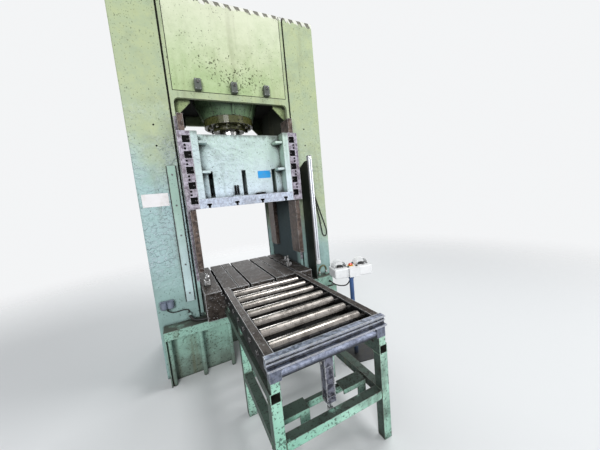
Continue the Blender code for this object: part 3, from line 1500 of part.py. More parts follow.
def make_air_cylinder():
    """The square air cylinder under the front tube, and its rod with the fork end."""
    half = AIR_WIDTH / 2
    y = TABLE_FRONT + BAR_BACK + 2 * TUBE_RADIUS + GAP + half
    inner = half - AIR_BODY_INSET
    body = block(
        "air_cylinder",
        (-inner, y - inner, AIR_BOTTOM + AIR_HEAD / 2),
        (inner, y + inner, AIR_TOP - AIR_HEAD / 2),
        "aluminium",
    )
    heads = blocks(
        "air_heads",
        [
            ((-half, y - half, AIR_BOTTOM), (half, y + half, AIR_BOTTOM + AIR_HEAD)),
            ((-half, y - half, AIR_TOP - AIR_HEAD), (half, y + half, AIR_TOP)),
        ],
    )
    corner = half - 0.004
    ties = [
        (sx * corner, y + sy * corner, (AIR_BOTTOM + AIR_TOP) / 2) for sx in (-1, 1) for sy in (-1, 1)
    ]
    tie_rods = rods("tie_rods", ties, TIE_ROD_RADIUS, AIR_TOP - AIR_BOTTOM - AIR_HEAD, "Z", 8)
    hanger = block(
        "air_hanger", (-half, y - half, AIR_TOP - 0.002), (half, y - half + HANGER_PLATE, TUBE_CENTRE_Z)
    )
    join(body, heads, tie_rods, hanger)
    rod_top = AIR_TOP - AIR_HEAD - AIR_STROKE - 0.01
    bore_centre = (0, y, (AIR_BOTTOM + AIR_TOP) / 2 - AIR_HEAD)
    bore = rods("air_bore", [bore_centre], AIR_ROD_RADIUS + AXLE_CLEARANCE, AIR_TOP - AIR_BOTTOM, "Z", 12)
    cut(body, bore)

    rod_bottom = AIR_BOTTOM - AIR_ROD_REACH
    rod_centre = (0, y, (rod_bottom + rod_top) / 2)
    rod = rods("air_rod", [rod_centre], AIR_ROD_RADIUS, rod_top - rod_bottom, "Z", 12, "bare_steel")
    fork_half = AIR_FORK_WIDTH / 2
    fork = block(
        "air_fork",
        (-fork_half, y - fork_half, rod_bottom - AIR_FORK_HEIGHT),
        (fork_half, y + fork_half, rod_bottom + AIR_ROD_RADIUS),
    )
    join(rod, fork)
    throat = block(
        "fork_throat",
        (-fork_half / 2.5, y - 0.05, rod_bottom - AIR_FORK_HEIGHT - 0.01),
        (fork_half / 2.5, y + 0.05, rod_bottom - AIR_FORK_HEIGHT / 3),
    )
    pin_hole = rods("fork_eye", [(0, y, rod_bottom - 0.7 * AIR_FORK_HEIGHT)], 0.005, 0.1, "X", 8)
    cut(rod, throat, pin_hole)
    return rod


# Two-hand control stand


def console_frame():
    """Places console pieces, whose own X runs along the console, at its stand."""
    return Matrix.Translation((CONSOLE_X, CONSOLE_Y, 0)) @ Matrix.Rotation(CONSOLE_TURN, 4, "Z")


def on_console(item):
    """Moves a piece from the console's own frame to its place."""
    bpy.context.view_layer.update()
    item.matrix_world = console_frame() @ item.matrix_world
    return item


def make_console():
    """Foot and post, the box with its two hoods, both palm buttons and the stop button."""
    foot_half = POST_FOOT_WIDTH / 2
    foot_depth = POST_FOOT_DEPTH / 2
    post = block(
        "console_post", (-foot_half, -foot_depth, 0), (foot_half, foot_depth, POST_FOOT_HEIGHT), "blue_paint"
    )
    box_bottom = CONSOLE_TOP - CONSOLE_HEIGHT
    pipe_top = box_bottom - GAP
    pipe = rods(
        "console_pipe",
        [(0, 0, (POST_FOOT_HEIGHT / 2 + pipe_top) / 2)],
        POST_RADIUS,
        pipe_top - POST_FOOT_HEIGHT / 2,
        "Z",
        16,
    )
    collar = rods("console_collar", [(0, 0, POST_COLLAR_Z)], POST_COLLAR_RADIUS, 0.03, "Z", 16)
    join(post, pipe, collar)
    for item in (post, pipe, collar):
        on_console(item)

    half_w = CONSOLE_WIDTH / 2
    half_d = CONSOLE_DEPTH / 2
    box = block(
        "console_box",
        (-half_w, -half_d + CONSOLE_NOSE, box_bottom),
        (half_w, half_d, CONSOLE_TOP),
        "white_paint",
    )
    corner = box.modifiers.new("Pressed corners", "BEVEL")
    corner.width = 0.012
    corner.segments = 3
    nose = block(
        "console_nose",
        (-CONSOLE_NOSE_WIDTH / 2, -half_d, box_bottom + 0.004),
        (CONSOLE_NOSE_WIDTH / 2, -half_d + 2 * CONSOLE_NOSE, CONSOLE_TOP - 0.004),
    )
    joined = [nose]
    holes = []
    for i in (-1, 1):
        x = i * PALM_X
        outer, inner = HOOD_RADIUS, HOOD_RADIUS - HOOD_WALL
        ring = [
            (outer * math.cos(a), outer * math.sin(a)) for a in [math.pi * k / 10 for k in range(11)]
        ]
        ring += [
            (inner * math.cos(a), inner * math.sin(a)) for a in [math.pi * k / 10 for k in range(10, -1, -1)]
        ]
        outline = [(x + u, v + CONSOLE_TOP - HOOD_SINK) for u, v in ring]
        hood = extruded(f"hood_{i + 2}", [outline], HOOD_DEPTH, (0, HOOD_SETBACK, 0), "XZ")
        joined.append(hood)
        holes.append((x, 0.0, CONSOLE_TOP))
    join(box, *joined)
    hole_radius = PALM_STEM_RADIUS + AXLE_CLEARANCE
    palm_holes = rods("palm_holes", holes, hole_radius, 2 * STEM_HOLE_DEPTH, "Z", 16)
    stop_hole = rods("stop_hole", [(0, 0.0, CONSOLE_TOP)], hole_radius, 2 * STEM_HOLE_DEPTH, "Z", 16)
    cut(box, palm_holes, stop_hole)
    for item in (box, *joined, palm_holes, stop_hole):
        on_console(item)

    for label, x, radius, height, travel, finish in (
        ("palm_button_left", -PALM_X, PALM_RADIUS, PALM_HEIGHT, PALM_TRAVEL, "black_plastic"),
        ("palm_button_right", PALM_X, PALM_RADIUS, PALM_HEIGHT, PALM_TRAVEL, "black_plastic"),
        ("stop_button", 0.0, STOP_RADIUS, STOP_HEIGHT, STOP_TRAVEL, "red_plastic"),
    ):
        lift = travel + 0.002
        stem = PALM_STEM_RADIUS
        profile = [
            (0, lift + height),
            (radius * 0.55, lift + height * 0.93),
            (radius * 0.88, lift + height * 0.68),
            (radius, lift + height * 0.3),
            (radius * 0.95, lift),
            (stem, lift),
            (stem, -STEM_DEPTH),
            (0, -STEM_DEPTH),
        ]
        on_console(turned(label, profile, (x, 0.0, CONSOLE_TOP), finish, 24))

    port_x = VALVE_X + VALVE_WIDTH / 2 - 0.05
    port_z = STEP_TOP + 0.06
    front = FACE_Y - VALVE_BACK_SPACE - VALVE_DEPTH
    route = [
        on_console_point((0.10, half_d + GAP, CONSOLE_TOP - 0.06)),
        on_console_point((0.10, half_d + 0.035, CONSOLE_TOP - 0.06)),
        on_console_point((0.105, half_d + 0.080, CONSOLE_TOP - 0.09)),
        on_console_point((0.110, half_d + 0.135, CONSOLE_TOP - 0.20)),
        (port_x + 0.035, front - 0.33, port_z + 0.045),
        (port_x + 0.020, front - 0.23, port_z),
        (port_x + 0.005, front - 0.12, port_z - 0.012),
        (port_x, front - 0.045, port_z),
        (port_x, front - GAP, port_z),
    ]
    hose("console_cable", route, CONSOLE_CABLE_RADIUS, "black_rubber")


def on_console_point(point):
    """A point of the console's own frame, in the machine's frame."""
    return tuple(console_frame() @ Vector(point))


def main():
    for side in (-1, 1):
        make_upright(side)
        make_step(side)
        make_guide_plate(side)
        make_side_rail(side)
    make_front_frame_plate()
    make_crown_cover()
    make_rear_frame_plate()
    make_crown()
    make_bed()
    make_bolster()
    make_cylinder()
    make_piston_rod()
    make_slide()
    make_platen()
    make_rails()
    for i, label in enumerate(("left", "middle", "right")):
        make_switch_box(label, (i - 1) * SWITCH_PITCH)
    make_guards()
    make_curtain_cable()
    make_socket_pair()
    make_left_hoses()
    make_valve_block()
    make_die_clamp("left", slot_places()[0] - 0.11, BOLSTER_FRONT + 0.30, math.radians(75))
    make_die_clamp("right", slot_places()[3] + 0.03, BOLSTER_FRONT + 0.34, math.radians(120))
    for index, y in enumerate(roller_places(), 1):
        make_roller(index, y)
    make_front_bar()
    make_stand()
    make_air_cylinder()
    make_console()


clear_scene()
press = new_collection("hydraulic_press")
cutters = new_collection("cutters")
main()
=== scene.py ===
# %% [markdown]
# A hydraulic press in its working clothes.
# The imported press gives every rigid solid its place. This lesson keeps those solids, gives
# each one a procedural finish, and adds the small pieces that a solid model leaves out:
# screws, weld beads, cables, lenses, seals and bare plates. All of them are worked out in
# the press's own frame, in metres, so nothing has to be fitted afterwards.

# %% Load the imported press
import math

import bpy
import numpy as np
from mathutils import Matrix, Vector


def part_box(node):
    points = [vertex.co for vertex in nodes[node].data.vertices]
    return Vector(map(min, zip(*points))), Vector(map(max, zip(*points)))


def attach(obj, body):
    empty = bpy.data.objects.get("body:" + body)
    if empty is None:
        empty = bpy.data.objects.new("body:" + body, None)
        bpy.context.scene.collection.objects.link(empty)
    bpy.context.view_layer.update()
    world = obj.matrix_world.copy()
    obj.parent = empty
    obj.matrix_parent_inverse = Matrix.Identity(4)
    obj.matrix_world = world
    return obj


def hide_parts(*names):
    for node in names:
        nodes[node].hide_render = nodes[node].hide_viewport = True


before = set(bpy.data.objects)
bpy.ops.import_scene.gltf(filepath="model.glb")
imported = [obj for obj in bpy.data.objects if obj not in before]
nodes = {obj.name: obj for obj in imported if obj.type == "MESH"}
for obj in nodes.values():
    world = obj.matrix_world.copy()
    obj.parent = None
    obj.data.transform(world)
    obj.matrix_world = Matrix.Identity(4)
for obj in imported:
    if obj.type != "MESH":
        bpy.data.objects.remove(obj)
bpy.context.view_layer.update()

# %% [markdown]
# The camera stands where the photograph was taken: at head height, close to the roller
# table's left corner, with a very wide lens that is slightly turned. A wide lens is why the
# uprights lean apart. The camera is built from its yaw, pitch and roll, so that each angle
# can be read and changed by itself.

# %% Camera at the photograph's viewing angle
CAMERA_PLACE = (-0.7403, -2.5185, 1.7515)
CAMERA_YAW, CAMERA_PITCH, CAMERA_ROLL = np.radians([25.896, 6.806, 5.358])
FOCAL_PIXELS = 254.24
PICTURE_WIDTH_PIXELS = 600
SENSOR_WIDTH = 36.0


def camera_axes(yaw, pitch, roll):
    """Right, up and backward axes: forward by yaw and pitch first, then a turn about it."""
    forward = np.array([math.sin(yaw) * math.cos(pitch), math.cos(yaw) * math.cos(pitch), -math.sin(pitch)])
    level = np.array([math.cos(yaw), -math.sin(yaw), 0.0])
    down = np.cross(forward, level)
    right = math.cos(roll) * level + math.sin(roll) * down
    return np.stack([right, -np.cross(forward, right), -forward], axis=1)


lens = bpy.data.cameras.new("press_camera")
lens.sensor_fit = "HORIZONTAL"
lens.sensor_width = SENSOR_WIDTH
lens.lens = FOCAL_PIXELS / PICTURE_WIDTH_PIXELS * SENSOR_WIDTH
lens.clip_start = 0.02
camera = bpy.data.objects.new("press_camera", lens)
turn = Matrix(camera_axes(CAMERA_YAW, CAMERA_PITCH, CAMERA_ROLL).tolist()).to_4x4()
camera.matrix_world = Matrix.Translation(CAMERA_PLACE) @ turn
bpy.context.scene.collection.objects.link(camera)
bpy.context.scene.camera = camera
bpy.context.scene.view_settings.view_transform = "Standard"
print("lens", round(lens.lens, 2), "mm")

# %% [markdown]
# Surfaces. Every new piece here is worked out at once with numpy, as rings of points that
# follow a line, closed round and shut at both ends. A bolt, a cable, a weld bead and a tag
# are all such rings, so one function turns rings into faces. A ring that runs back on
# itself, as in a sleeve, is joined to its start instead of being shut.

# %% Rings of points into closed surfaces


def skin(rings, loop=False):
    """Faces (i, j), (i, j+1), (i+1, j+1), (i+1, j) over rings i of points j, with caps or as a loop."""
    rings = np.asarray(rings, float)
    index = np.arange(rings.shape[0] * rings.shape[1]).reshape(rings.shape[:2])
    here = index if loop else index[:-1]
    above = np.roll(index, -1, axis=0)[: len(here)]
    walls = np.stack([here, np.roll(here, -1, axis=1), np.roll(above, -1, axis=1), above], axis=-1)
    caps = [] if loop else [index[0, ::-1].tolist(), index[-1].tolist()]
    return rings.reshape(-1, 3), walls.reshape(-1, 4).tolist() + caps


def circles(path, radius, sides=12):
    """Circles across a path: p + r (cos a u + sin a v), with u carried along so that nothing twists."""
    path = np.asarray(path, float)
    ahead = np.gradient(path, axis=0)
    ahead /= np.linalg.norm(ahead, axis=1)[:, None]
    side = np.cross(ahead[0], (0.0, 0.0, 1.0) if abs(ahead[0][2]) < 0.9 else (0.0, 1.0, 0.0))
    carried = []
    for direction in ahead:
        side = side - direction * np.dot(side, direction)
        side = side / np.linalg.norm(side)
        carried.append(side)
    u = np.array(carried)[:, None]
    v = np.cross(ahead, carried)[:, None]
    angle = (np.arange(sides) * 2 * np.pi / sides)[None, :, None]
    reach = np.broadcast_to(np.asarray(radius, float), len(path))[:, None, None]
    return path[:, None] + reach * (np.cos(angle) * u + np.sin(angle) * v)


def make(name, part, body, finish=None, crease=38.0):
    """An object of points and faces, smooth up to the crease angle, that rides on a body."""
    points, faces = part
    mesh = bpy.data.meshes.new(name)
    mesh.from_pydata(points.tolist(), [], faces)
    mesh.shade_smooth()
    mesh.set_sharp_from_angle(angle=math.radians(crease))
    if finish is not None:
        mesh.materials.append(finish)
    made = bpy.data.objects.new(name, mesh)
    bpy.context.scene.collection.objects.link(made)
    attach(made, body)
    return made


# %% [markdown]
# Cords. Four of them lie free: the light curtain's lead, which hangs in one long loop from
# its clip, the lead of the socket pair, the drain hose that follows the left step to the
# bed, and the control stand's cable. Each is one smooth line through the points that its
# solid was made from. A real lead keeps straight for a few diameters where it leaves a
# housing, then gravity and its own stiffness share the bend.

# %% Routes of the four cords


def flow(points, step):
    """A smooth line through every point, at an even step. Between b and c it is the Catmull-Rom curve
    (2b + (c - a) t + (2a - 5b + 4c - d) t^2 + (3b - a - 3c + d) t^3) / 2."""
    p = np.asarray(points, float)
    p = np.vstack([2 * p[0] - p[1], p, 2 * p[-1] - p[-2]])
    a, b, c, d = (p[i : len(p) - 3 + i, None] for i in range(4))
    t = np.linspace(0.0, 1.0, 20, endpoint=False)[None, :, None]
    curve = (2 * b + (c - a) * t + (2 * a - 5 * b + 4 * c - d) * t**2 + (3 * b - a - 3 * c + d) * t**3) / 2
    curve = np.vstack([curve.reshape(-1, 3), p[-2]])
    run = np.concatenate([[0.0], np.cumsum(np.linalg.norm(np.diff(curve, axis=0), axis=1))])
    even = np.linspace(0.0, run[-1], max(int(run[-1] / step), 12))
    return np.stack([np.interp(even, run, curve[:, k]) for k in range(3)], axis=1)


def offsets(start, steps):
    """Points at steps from a start."""
    return (np.array(start) + np.array(steps)).tolist()


CURTAIN_ROUTE = offsets((0.83, 0.303, 1.86), [
    (0, 0, -0.0003), (0, 0, -0.025), (0.024, 0, -0.080), (0.062, 0, -0.200), (0.100, 0, -0.330),
    (0.140, 0, -0.460), (0.172, 0, -0.570), (0.180, 0, -0.625), (0.168, 0, -0.662), (0.140, 0, -0.672),
    (0.115, 0, -0.640), (0.103, 0, -0.560), (0.088, 0, -0.440), (0.066, 0, -0.320), (0.046, -0.002, -0.220),
    (0.028, -0.008, -0.150), (0.010, -0.018, -0.086), (-0.004, -0.034, -0.041), (-0.005, -0.036, -0.020),
    (-0.005, -0.036, -0.0003),
])
SOCKET_ROUTE = offsets((-0.93, 0.3025, 0.745), [
    (0, -0.026, -0.0053), (0, -0.026, -0.018), (0.020, -0.012, -0.045), (0.060, 0, -0.062),
    (0.110, 0, -0.060), (0.150, 0, -0.060), (0.182, 0, -0.069), (0.190, 0, -0.085), (0.190, 0, -0.0997),
])
DRAIN_ROUTE = offsets((-0.74, 0.295, 0.5765), [
    (0, -0.004, 0.0462), (0, -0.004, 0.0345), (0.014, -0.030, 0.020), (0.040, -0.060, 0.003),
    (0.085, -0.090, 0), (0.140, -0.105, 0), (0.190, -0.100, 0), (0.235, -0.080, 0), (0.260, -0.050, 0),
    (0.268, -0.020, 0), (0.268, 0.0142, 0),
])
CONSOLE_TURN = Matrix.Translation((0.805, -0.432, 0.0)) @ Matrix.Rotation(math.radians(-12.0), 4, "Z")
CONSOLE_ROUTE = [
    *(list(CONSOLE_TURN @ Vector(p)) for p in (
        (0.100, 0.1003, 0.92), (0.100, 0.135, 0.92), (0.105, 0.180, 0.89), (0.110, 0.235, 0.78),
    )),
    (0.945, -0.162, 0.67), (0.93, -0.062, 0.625), (0.915, 0.048, 0.613), (0.91, 0.123, 0.625), (0.91, 0.1677, 0.625),
]
CORDS = {}
for node, route, radius, stiffness, lay in (
    ("curtain_cable", CURTAIN_ROUTE, 0.0060, "medium", "hanging"),
    ("socket_cable", SOCKET_ROUTE, 0.0048, "medium", "loose"),
    ("drain_hose", DRAIN_ROUTE, 0.0110, "medium", "loose"),
    ("console_cable", CONSOLE_ROUTE, 0.0070, "medium", "hanging"),
):
    line = flow(route, 1.1 * radius)
    jacket = make(node + "_jacket", skin(circles(line, radius, 14)), "frame")
    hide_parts(node)
    CORDS[node] = (jacket, line, radius)

# %% [markdown]
# Node helpers. A procedural material is a small program. Written out socket by socket it
# hides its own idea, so small helpers keep each finish readable. They place a node, do
# arithmetic, fade between two colours, turn a value into a soft mask, draw noise at a place,
# and tell where a face looks and what kind of ray asks. Colours as they are seen, from 0 to
# 255, are made linear.

# %% Helpers for shader nodes


def put(tree, socket, value):
    """Links an output to a socket, or sets the socket's own value."""
    if isinstance(value, bpy.types.NodeSocket):
        tree.links.new(value, socket)
    elif isinstance(value, tuple) and socket.type == "RGBA":
        socket.default_value = (*value[:3], 1.0)
    else:
        socket.default_value = value


def fill(tree, node, inputs):
    """The named inputs of a node, each linked to an output or set to a value."""
    for name, value in inputs.items():
        put(tree, node.inputs[name], value)
    return node


def add(tree, kind, inputs=None, **settings):
    """A shader node with its settings and its inputs."""
    made = tree.nodes.new("ShaderNode" + kind)
    for name, value in settings.items():
        setattr(made, name, value)
    return fill(tree, made, inputs or {})


def calc(tree, operation, a, b=0.0, c=0.0, clamp=False):
    """One step of arithmetic on values."""
    return add(tree, "Math", {0: a, 1: b, 2: c}, operation=operation, use_clamp=clamp).outputs[0]


def times(tree, a, b):
    """One value times another."""
    return calc(tree, "MULTIPLY", a, b)


def fade(tree, factor, first, second):
    """The first colour at 0 and the second at 1."""
    ends = {"Factor": factor, "A": first, "B": second}
    return add(tree, "Mix", ends, data_type="RGBA", blend_type="MIX").outputs["Result"]


def mask(tree, value, low, high, top=1.0):
    """A soft mask: 0 below low, top above high, with an eased slope between."""
    ends = {"Value": value, "From Min": low, "From Max": high, "To Max": top}
    return add(tree, "MapRange", ends, interpolation_type="SMOOTHSTEP").outputs["Result"]


def stretched(tree, position, stretch):
    """A position squeezed by a factor along each axis, so that a pattern is drawn out where it is small."""
    return add(tree, "VectorMath", {0: position, 1: stretch}, operation="MULTIPLY").outputs[0]


def noise(tree, position, scale, detail=4.0, rough=0.55, stretch=None):
    """Fractal noise at a position."""
    if stretch is not None:
        position = stretched(tree, position, stretch)
    inputs = {"Vector": position, "Scale": scale, "Detail": detail, "Roughness": rough}
    return add(tree, "TexNoise", inputs).outputs["Fac"]


def facing(tree, axis):
    """How far a face looks along an axis, from -1 to 1."""
    normal = add(tree, "NewGeometry").outputs["Normal"]
    return add(tree, "SeparateXYZ", {"Vector": normal}).outputs[axis]


def looked_at(tree):
    """1 for the camera, for reflections and for what is seen through glass, and 0 for light that bounces."""
    ray = add(tree, "LightPath").outputs
    mirrored = calc(tree, "MAXIMUM", ray["Is Glossy Ray"], ray["Is Transmission Ray"])
    return calc(tree, "MAXIMUM", ray["Is Camera Ray"], mirrored)


def bumped(tree, height, strength, depth):
    """The normal of a face that has a height of its own."""
    return add(tree, "Bump", {"Height": height, "Strength": strength, "Distance": depth}).outputs["Normal"]


def seen(red, green, blue):
    """Linear colour from the 0 to 255 values of a colour as it is seen."""
    share = np.array([red, green, blue]) / 255.0
    return tuple(float(v) for v in np.where(share < 0.04045, share / 12.92, ((share + 0.055) / 1.055) ** 2.4))


def darker(colour, share):
    """A colour times a share."""
    return tuple(v * share for v in colour)


# %% [markdown]
# Studio light. A press this tall is lit by large soft boxes: one in front and to the left,
# a weaker one to the right, one above, whose reflection runs along the rollers, and one
# behind for the other views. The world adds the even light that a pale room gives. Its
# colour for the camera is set apart with Light Path, so a pale background costs no light on
# the paint.

# %% Lights and world
SOFT_BOXES = {
    "box_front_left": ((-4.6, -8.8, 4.4), (0.0, 0.2, 1.5), 3.6, 640),
    "box_front_right": ((6.2, -5.4, 2.8), (0.1, 0.0, 1.5), 3.0, 200),
    "box_above": ((2.3, -0.5, 7.0), (0.0, -0.7, 0.9), 1.7, 170),
    "box_behind": ((1.8, 8.4, 4.4), (0.0, 0.4, 1.6), 3.6, 360),
}
for name, (place, target, size, power) in SOFT_BOXES.items():
    light = bpy.data.lights.new(name, "AREA")
    light.shape = "SQUARE"
    light.size = size
    light.energy = power
    box = bpy.data.objects.new(name, light)
    box.location = place
    box.rotation_euler = (Vector(target) - Vector(place)).to_track_quat("-Z", "Y").to_euler()
    box.visible_camera = False
    bpy.context.scene.collection.objects.link(box)

world = bpy.data.worlds.new("pale_room")
bpy.context.scene.world = world
world.use_nodes = True
sky = world.node_tree
sky.nodes.clear()
even = add(sky, "Background", {"Color": (0.93, 0.97, 1.0), "Strength": 0.40})
backdrop = add(sky, "Background", {"Color": (0.90, 0.91, 0.92), "Strength": 1.0})
choose = add(sky, "MixShader", {0: looked_at(sky), 1: even.outputs[0], 2: backdrop.outputs[0]})
sky.links.new(choose.outputs[0], add(sky, "OutputWorld").inputs["Surface"])
print(len(SOFT_BOXES), "soft boxes of", [size for _, _, size, _ in SOFT_BOXES.values()], "m")

# %% [markdown]
# Floor. The press stands on a plain pale floor, which isn't part of the object. A pale
# floor throws light up under the table, which should stay dark, so it shows its pale tone
# to the camera and to reflections, and a greyer one to the light that bounces. Far from
# the press it fades into the backdrop, so that no horizon shows.

# %% Pale floor
FLOOR_HALF = 8.0
FLOOR_FADES_FROM = 3.2
FLOOR_SEEN = (0.70, 0.71, 0.72)
FLOOR_BOUNCED = (0.26, 0.26, 0.27)
floor_mesh = bpy.data.meshes.new("pale_floor")
corners = np.array([(-1, -1, 0), (1, -1, 0), (1, 1, 0), (-1, 1, 0)]) * FLOOR_HALF
floor_mesh.from_pydata(corners.tolist(), [], [(0, 1, 2, 3)])
floor = bpy.data.objects.new("pale_floor", floor_mesh)
bpy.context.scene.collection.objects.link(floor)
floor_finish = bpy.data.materials.new("pale_floor")
floor_finish.use_nodes = True
floor_tree = floor_finish.node_tree
floor_shader = floor_tree.nodes["Principled BSDF"]
floor_colour = fade(floor_tree, looked_at(floor_tree), FLOOR_BOUNCED, FLOOR_SEEN)
fill(floor_tree, floor_shader, {"Base Color": floor_colour, "Roughness": 0.8})
spot = add(floor_tree, "TexCoord").outputs["Object"]
distance = add(floor_tree, "VectorMath", {0: spot}, operation="LENGTH").outputs["Value"]
far = mask(floor_tree, distance, FLOOR_FADES_FROM, FLOOR_HALF)
clear = add(floor_tree, "BsdfTransparent").outputs[0]
ending = add(floor_tree, "MixShader", {"Fac": far, 1: floor_shader.outputs[0], 2: clear})
floor_tree.links.new(ending.outputs[0], floor_tree.nodes["Material Output"].inputs["Surface"])
floor_mesh.materials.append(floor_finish)
print("floor fades out between", FLOOR_FADES_FROM, "and", FLOOR_HALF, "m")

# %% [markdown]
# Shared effects. Old enamel on a press fails in the same few ways everywhere: it wears
# through along edges, chips off in small islands, gathers specks of black dirt, carries
# vertical runs of oil and collects grime on whatever faces up. Every corner and groove is
# darkened too, by dirt and by painted shade where nearby solids hide the light. Each way is a
# node group's output here, built once, so that every finish can set its own amount. A group
# gives out masks and heights only, and the shader itself stays in the material.

# %% Group of worn edges, chips, specks, runs, grime, and corners of dirt and painted shade


def group(name, inputs, outputs):
    """A shader node group with named sockets: its tree, its input node and its output node."""
    tree = bpy.data.node_groups.new(name, "ShaderNodeTree")
    for label, kind, value in inputs:
        socket = tree.interface.new_socket(label, in_out="INPUT", socket_type="NodeSocket" + kind)
        if value is not None:
            socket.default_value = value
    for label in outputs:
        tree.interface.new_socket(label, in_out="OUTPUT", socket_type="NodeSocketFloat")
    return tree, tree.nodes.new("NodeGroupInput"), tree.nodes.new("NodeGroupOutput")


def make_wear_group():
    """Edges: the angle between the true face and a rounded one. Chips: fine noise over a threshold
    that coarse noise and edges lower. Specks: finer noise over its own threshold. Runs: noise drawn
    out along Z. Grime: faces that look up. Corner Dirt And Shade: how much of the sky nearby solids
    hide, used for dirt and for painted shade. Patches: slow noise, for a coat of two tones that mix."""
    tree, given, result = group(
        "enamel_wear",
        [
            ("Position", "Vector", None),
            ("Edge Radius", "Float", 0.006),
            ("Edge Amount", "Float", 0.6),
            ("Chip Scale", "Float", 22.0),
            ("Chip Amount", "Float", 0.4),
            ("Speck Amount", "Float", 0.4),
            ("Run Amount", "Float", 0.5),
            ("Grime Amount", "Float", 0.5),
            ("Corner Shade Reach", "Float", 0.05),
        ],
        ["Edges", "Chips", "Specks", "Runs", "Grime", "Corner Dirt And Shade", "Patches"],
    )
    at = given.outputs["Position"]
    ragged = noise(tree, at, 30.0, 5.0, 0.65)
    coarse = noise(tree, at, 2.6, 3.0, 0.6)
    rounded = add(tree, "Bevel", {"Radius": given.outputs["Edge Radius"]}, samples=4).outputs[0]
    normal = add(tree, "NewGeometry").outputs["Normal"]
    same = add(tree, "VectorMath", {0: rounded, 1: normal}, operation="DOT_PRODUCT")
    turned_away = calc(tree, "SUBTRACT", 1.0, same.outputs["Value"])
    edge_value = calc(tree, "ADD", turned_away, calc(tree, "MULTIPLY_ADD", ragged, 0.22, -0.10))
    edges = calc(tree, "MULTIPLY", mask(tree, edge_value, 0.03, 0.12), given.outputs["Edge Amount"], clamp=True)
    fine = noise(tree, at, given.outputs["Chip Scale"], 6.0, 0.62)
    raised = calc(tree, "MULTIPLY_ADD", coarse, 0.34, fine)
    raised = calc(tree, "MULTIPLY_ADD", edges, 0.12, raised)
    sill = calc(tree, "MULTIPLY_ADD", given.outputs["Chip Amount"], -0.30, 0.98)
    chips = mask(tree, calc(tree, "SUBTRACT", raised, sill), 0.0, 0.018)
    dots = noise(tree, at, 62.0, 4.0, 0.6)
    scattered = calc(tree, "MULTIPLY_ADD", noise(tree, at, 5.0, 4.0, 0.6), 0.22, dots)
    speck_sill = calc(tree, "MULTIPLY_ADD", given.outputs["Speck Amount"], -0.17, 0.84)
    specks = mask(tree, calc(tree, "SUBTRACT", scattered, speck_sill), 0.0, 0.05)
    drawn = noise(tree, at, 14.0, 5.0, 0.6, (1.0, 1.0, 0.045))
    broken = noise(tree, at, 2.2, 2.0, 0.5, (1.0, 1.0, 0.5))
    runs = calc(tree, "MULTIPLY", mask(tree, drawn, 0.50, 0.74), mask(tree, broken, 0.38, 0.62))
    runs = calc(tree, "MULTIPLY", runs, given.outputs["Run Amount"], clamp=True)
    lifted = facing(tree, "Z")
    uneven = mask(tree, noise(tree, at, 7.0, 5.0, 0.6), 0.22, 0.6)
    settled = calc(tree, "MULTIPLY", mask(tree, lifted, 0.35, 0.85), uneven)
    cloudy = mask(tree, noise(tree, at, 4.2, 6.0, 0.62), 0.50, 0.72)
    grime = calc(tree, "MULTIPLY_ADD", cloudy, 0.30, settled)
    grime = calc(tree, "MULTIPLY", grime, given.outputs["Grime Amount"], clamp=True)
    # Dirt and painted shade: ambient occlusion darkens whatever nearby solids hide, as far as the corner reach.
    hidden = add(tree, "AmbientOcclusion", {"Distance": given.outputs["Corner Shade Reach"]}, samples=6)
    shut = calc(tree, "SUBTRACT", calc(tree, "MULTIPLY_ADD", ragged, 0.24, 0.88), hidden.outputs["AO"])
    corners = mask(tree, shut, 0.22, 0.62)
    patches = mask(tree, noise(tree, at, 0.9, 3.0, 0.55), 0.36, 0.64)
    for socket, value in zip(result.inputs, (edges, chips, specks, runs, grime, corners, patches)):
        tree.links.new(value, socket)
    return tree


WEAR = make_wear_group()
print("wear group with", len(WEAR.nodes), "nodes")

# %% [markdown]
# Bare steel has effects of its own: the lay of the last cut, which runs one way and
# scatters light across it, a blotchy film of oil, and bright nicks where something hard
# slid over it. The second group gives these three as values.

# %% Group of lay, oil film and nicks


def make_steel_group():
    """Lay: noise drawn out along one axis. Film: cloudy noise. Nicks: sparse thin cells."""
    tree, given, result = group(
        "steel_surface",
        [
            ("Position", "Vector", None),
            ("Lay Stretch", "Vector", (4.0, 160.0, 160.0)),
            ("Film Scale", "Float", 3.0),
            ("Nick Scale", "Float", 26.0),
        ],
        ["Lay", "Film", "Nicks"],
    )
    at = given.outputs["Position"]
    lay = noise(tree, stretched(tree, at, given.outputs["Lay Stretch"]), 1.0, 3.0, 0.6)
    cloud = {"Vector": at, "Scale": given.outputs["Film Scale"], "Detail": 6.0, "Roughness": 0.62}
    film_noise = add(tree, "TexNoise", cloud)
    warped = add(tree, "VectorMath", {0: at, 1: film_noise.outputs["Color"]}, operation="ADD").outputs[0]
    grid = {"Vector": warped, "Scale": given.outputs["Nick Scale"]}
    cells = add(tree, "TexVoronoi", grid, feature="DISTANCE_TO_EDGE")
    rare = mask(tree, noise(tree, at, 9.0, 4.0, 0.6), 0.56, 0.66)
    nicks = calc(tree, "MULTIPLY", mask(tree, cells.outputs["Distance"], 0.045, 0.0), rare)
    tree.links.new(lay, result.inputs["Lay"])
    tree.links.new(mask(tree, film_noise.outputs["Fac"], 0.36, 0.66), result.inputs["Film"])
    tree.links.new(nicks, result.inputs["Nicks"])
    return tree


STEEL = make_steel_group()
print("steel group with", len(STEEL.nodes), "nodes")

# %% [markdown]
# Enamel. The press was painted more than once: a yellow-green on the head, a cooler mint
# below, both over dark primer. So a coat has two greens with a soft border between them in
# height and a mottle over both, then the kinds of wear on top, each with its own colour and
# roughness. Chips are cut into the coat by a bump. Where the lower coat lifted, it stands in
# welts, which are a second height, and their crests carry a painted highlight and their feet a painted shadow.

# %% Where every finish begins


def begin(name):
    """A new material: its tree, its Principled shader and its Object coordinates."""
    finish = bpy.data.materials.new(name)
    finish.use_nodes = True
    tree = finish.node_tree
    at = add(tree, "TexCoord").outputs["Object"]
    return finish, tree, tree.nodes["Principled BSDF"], at


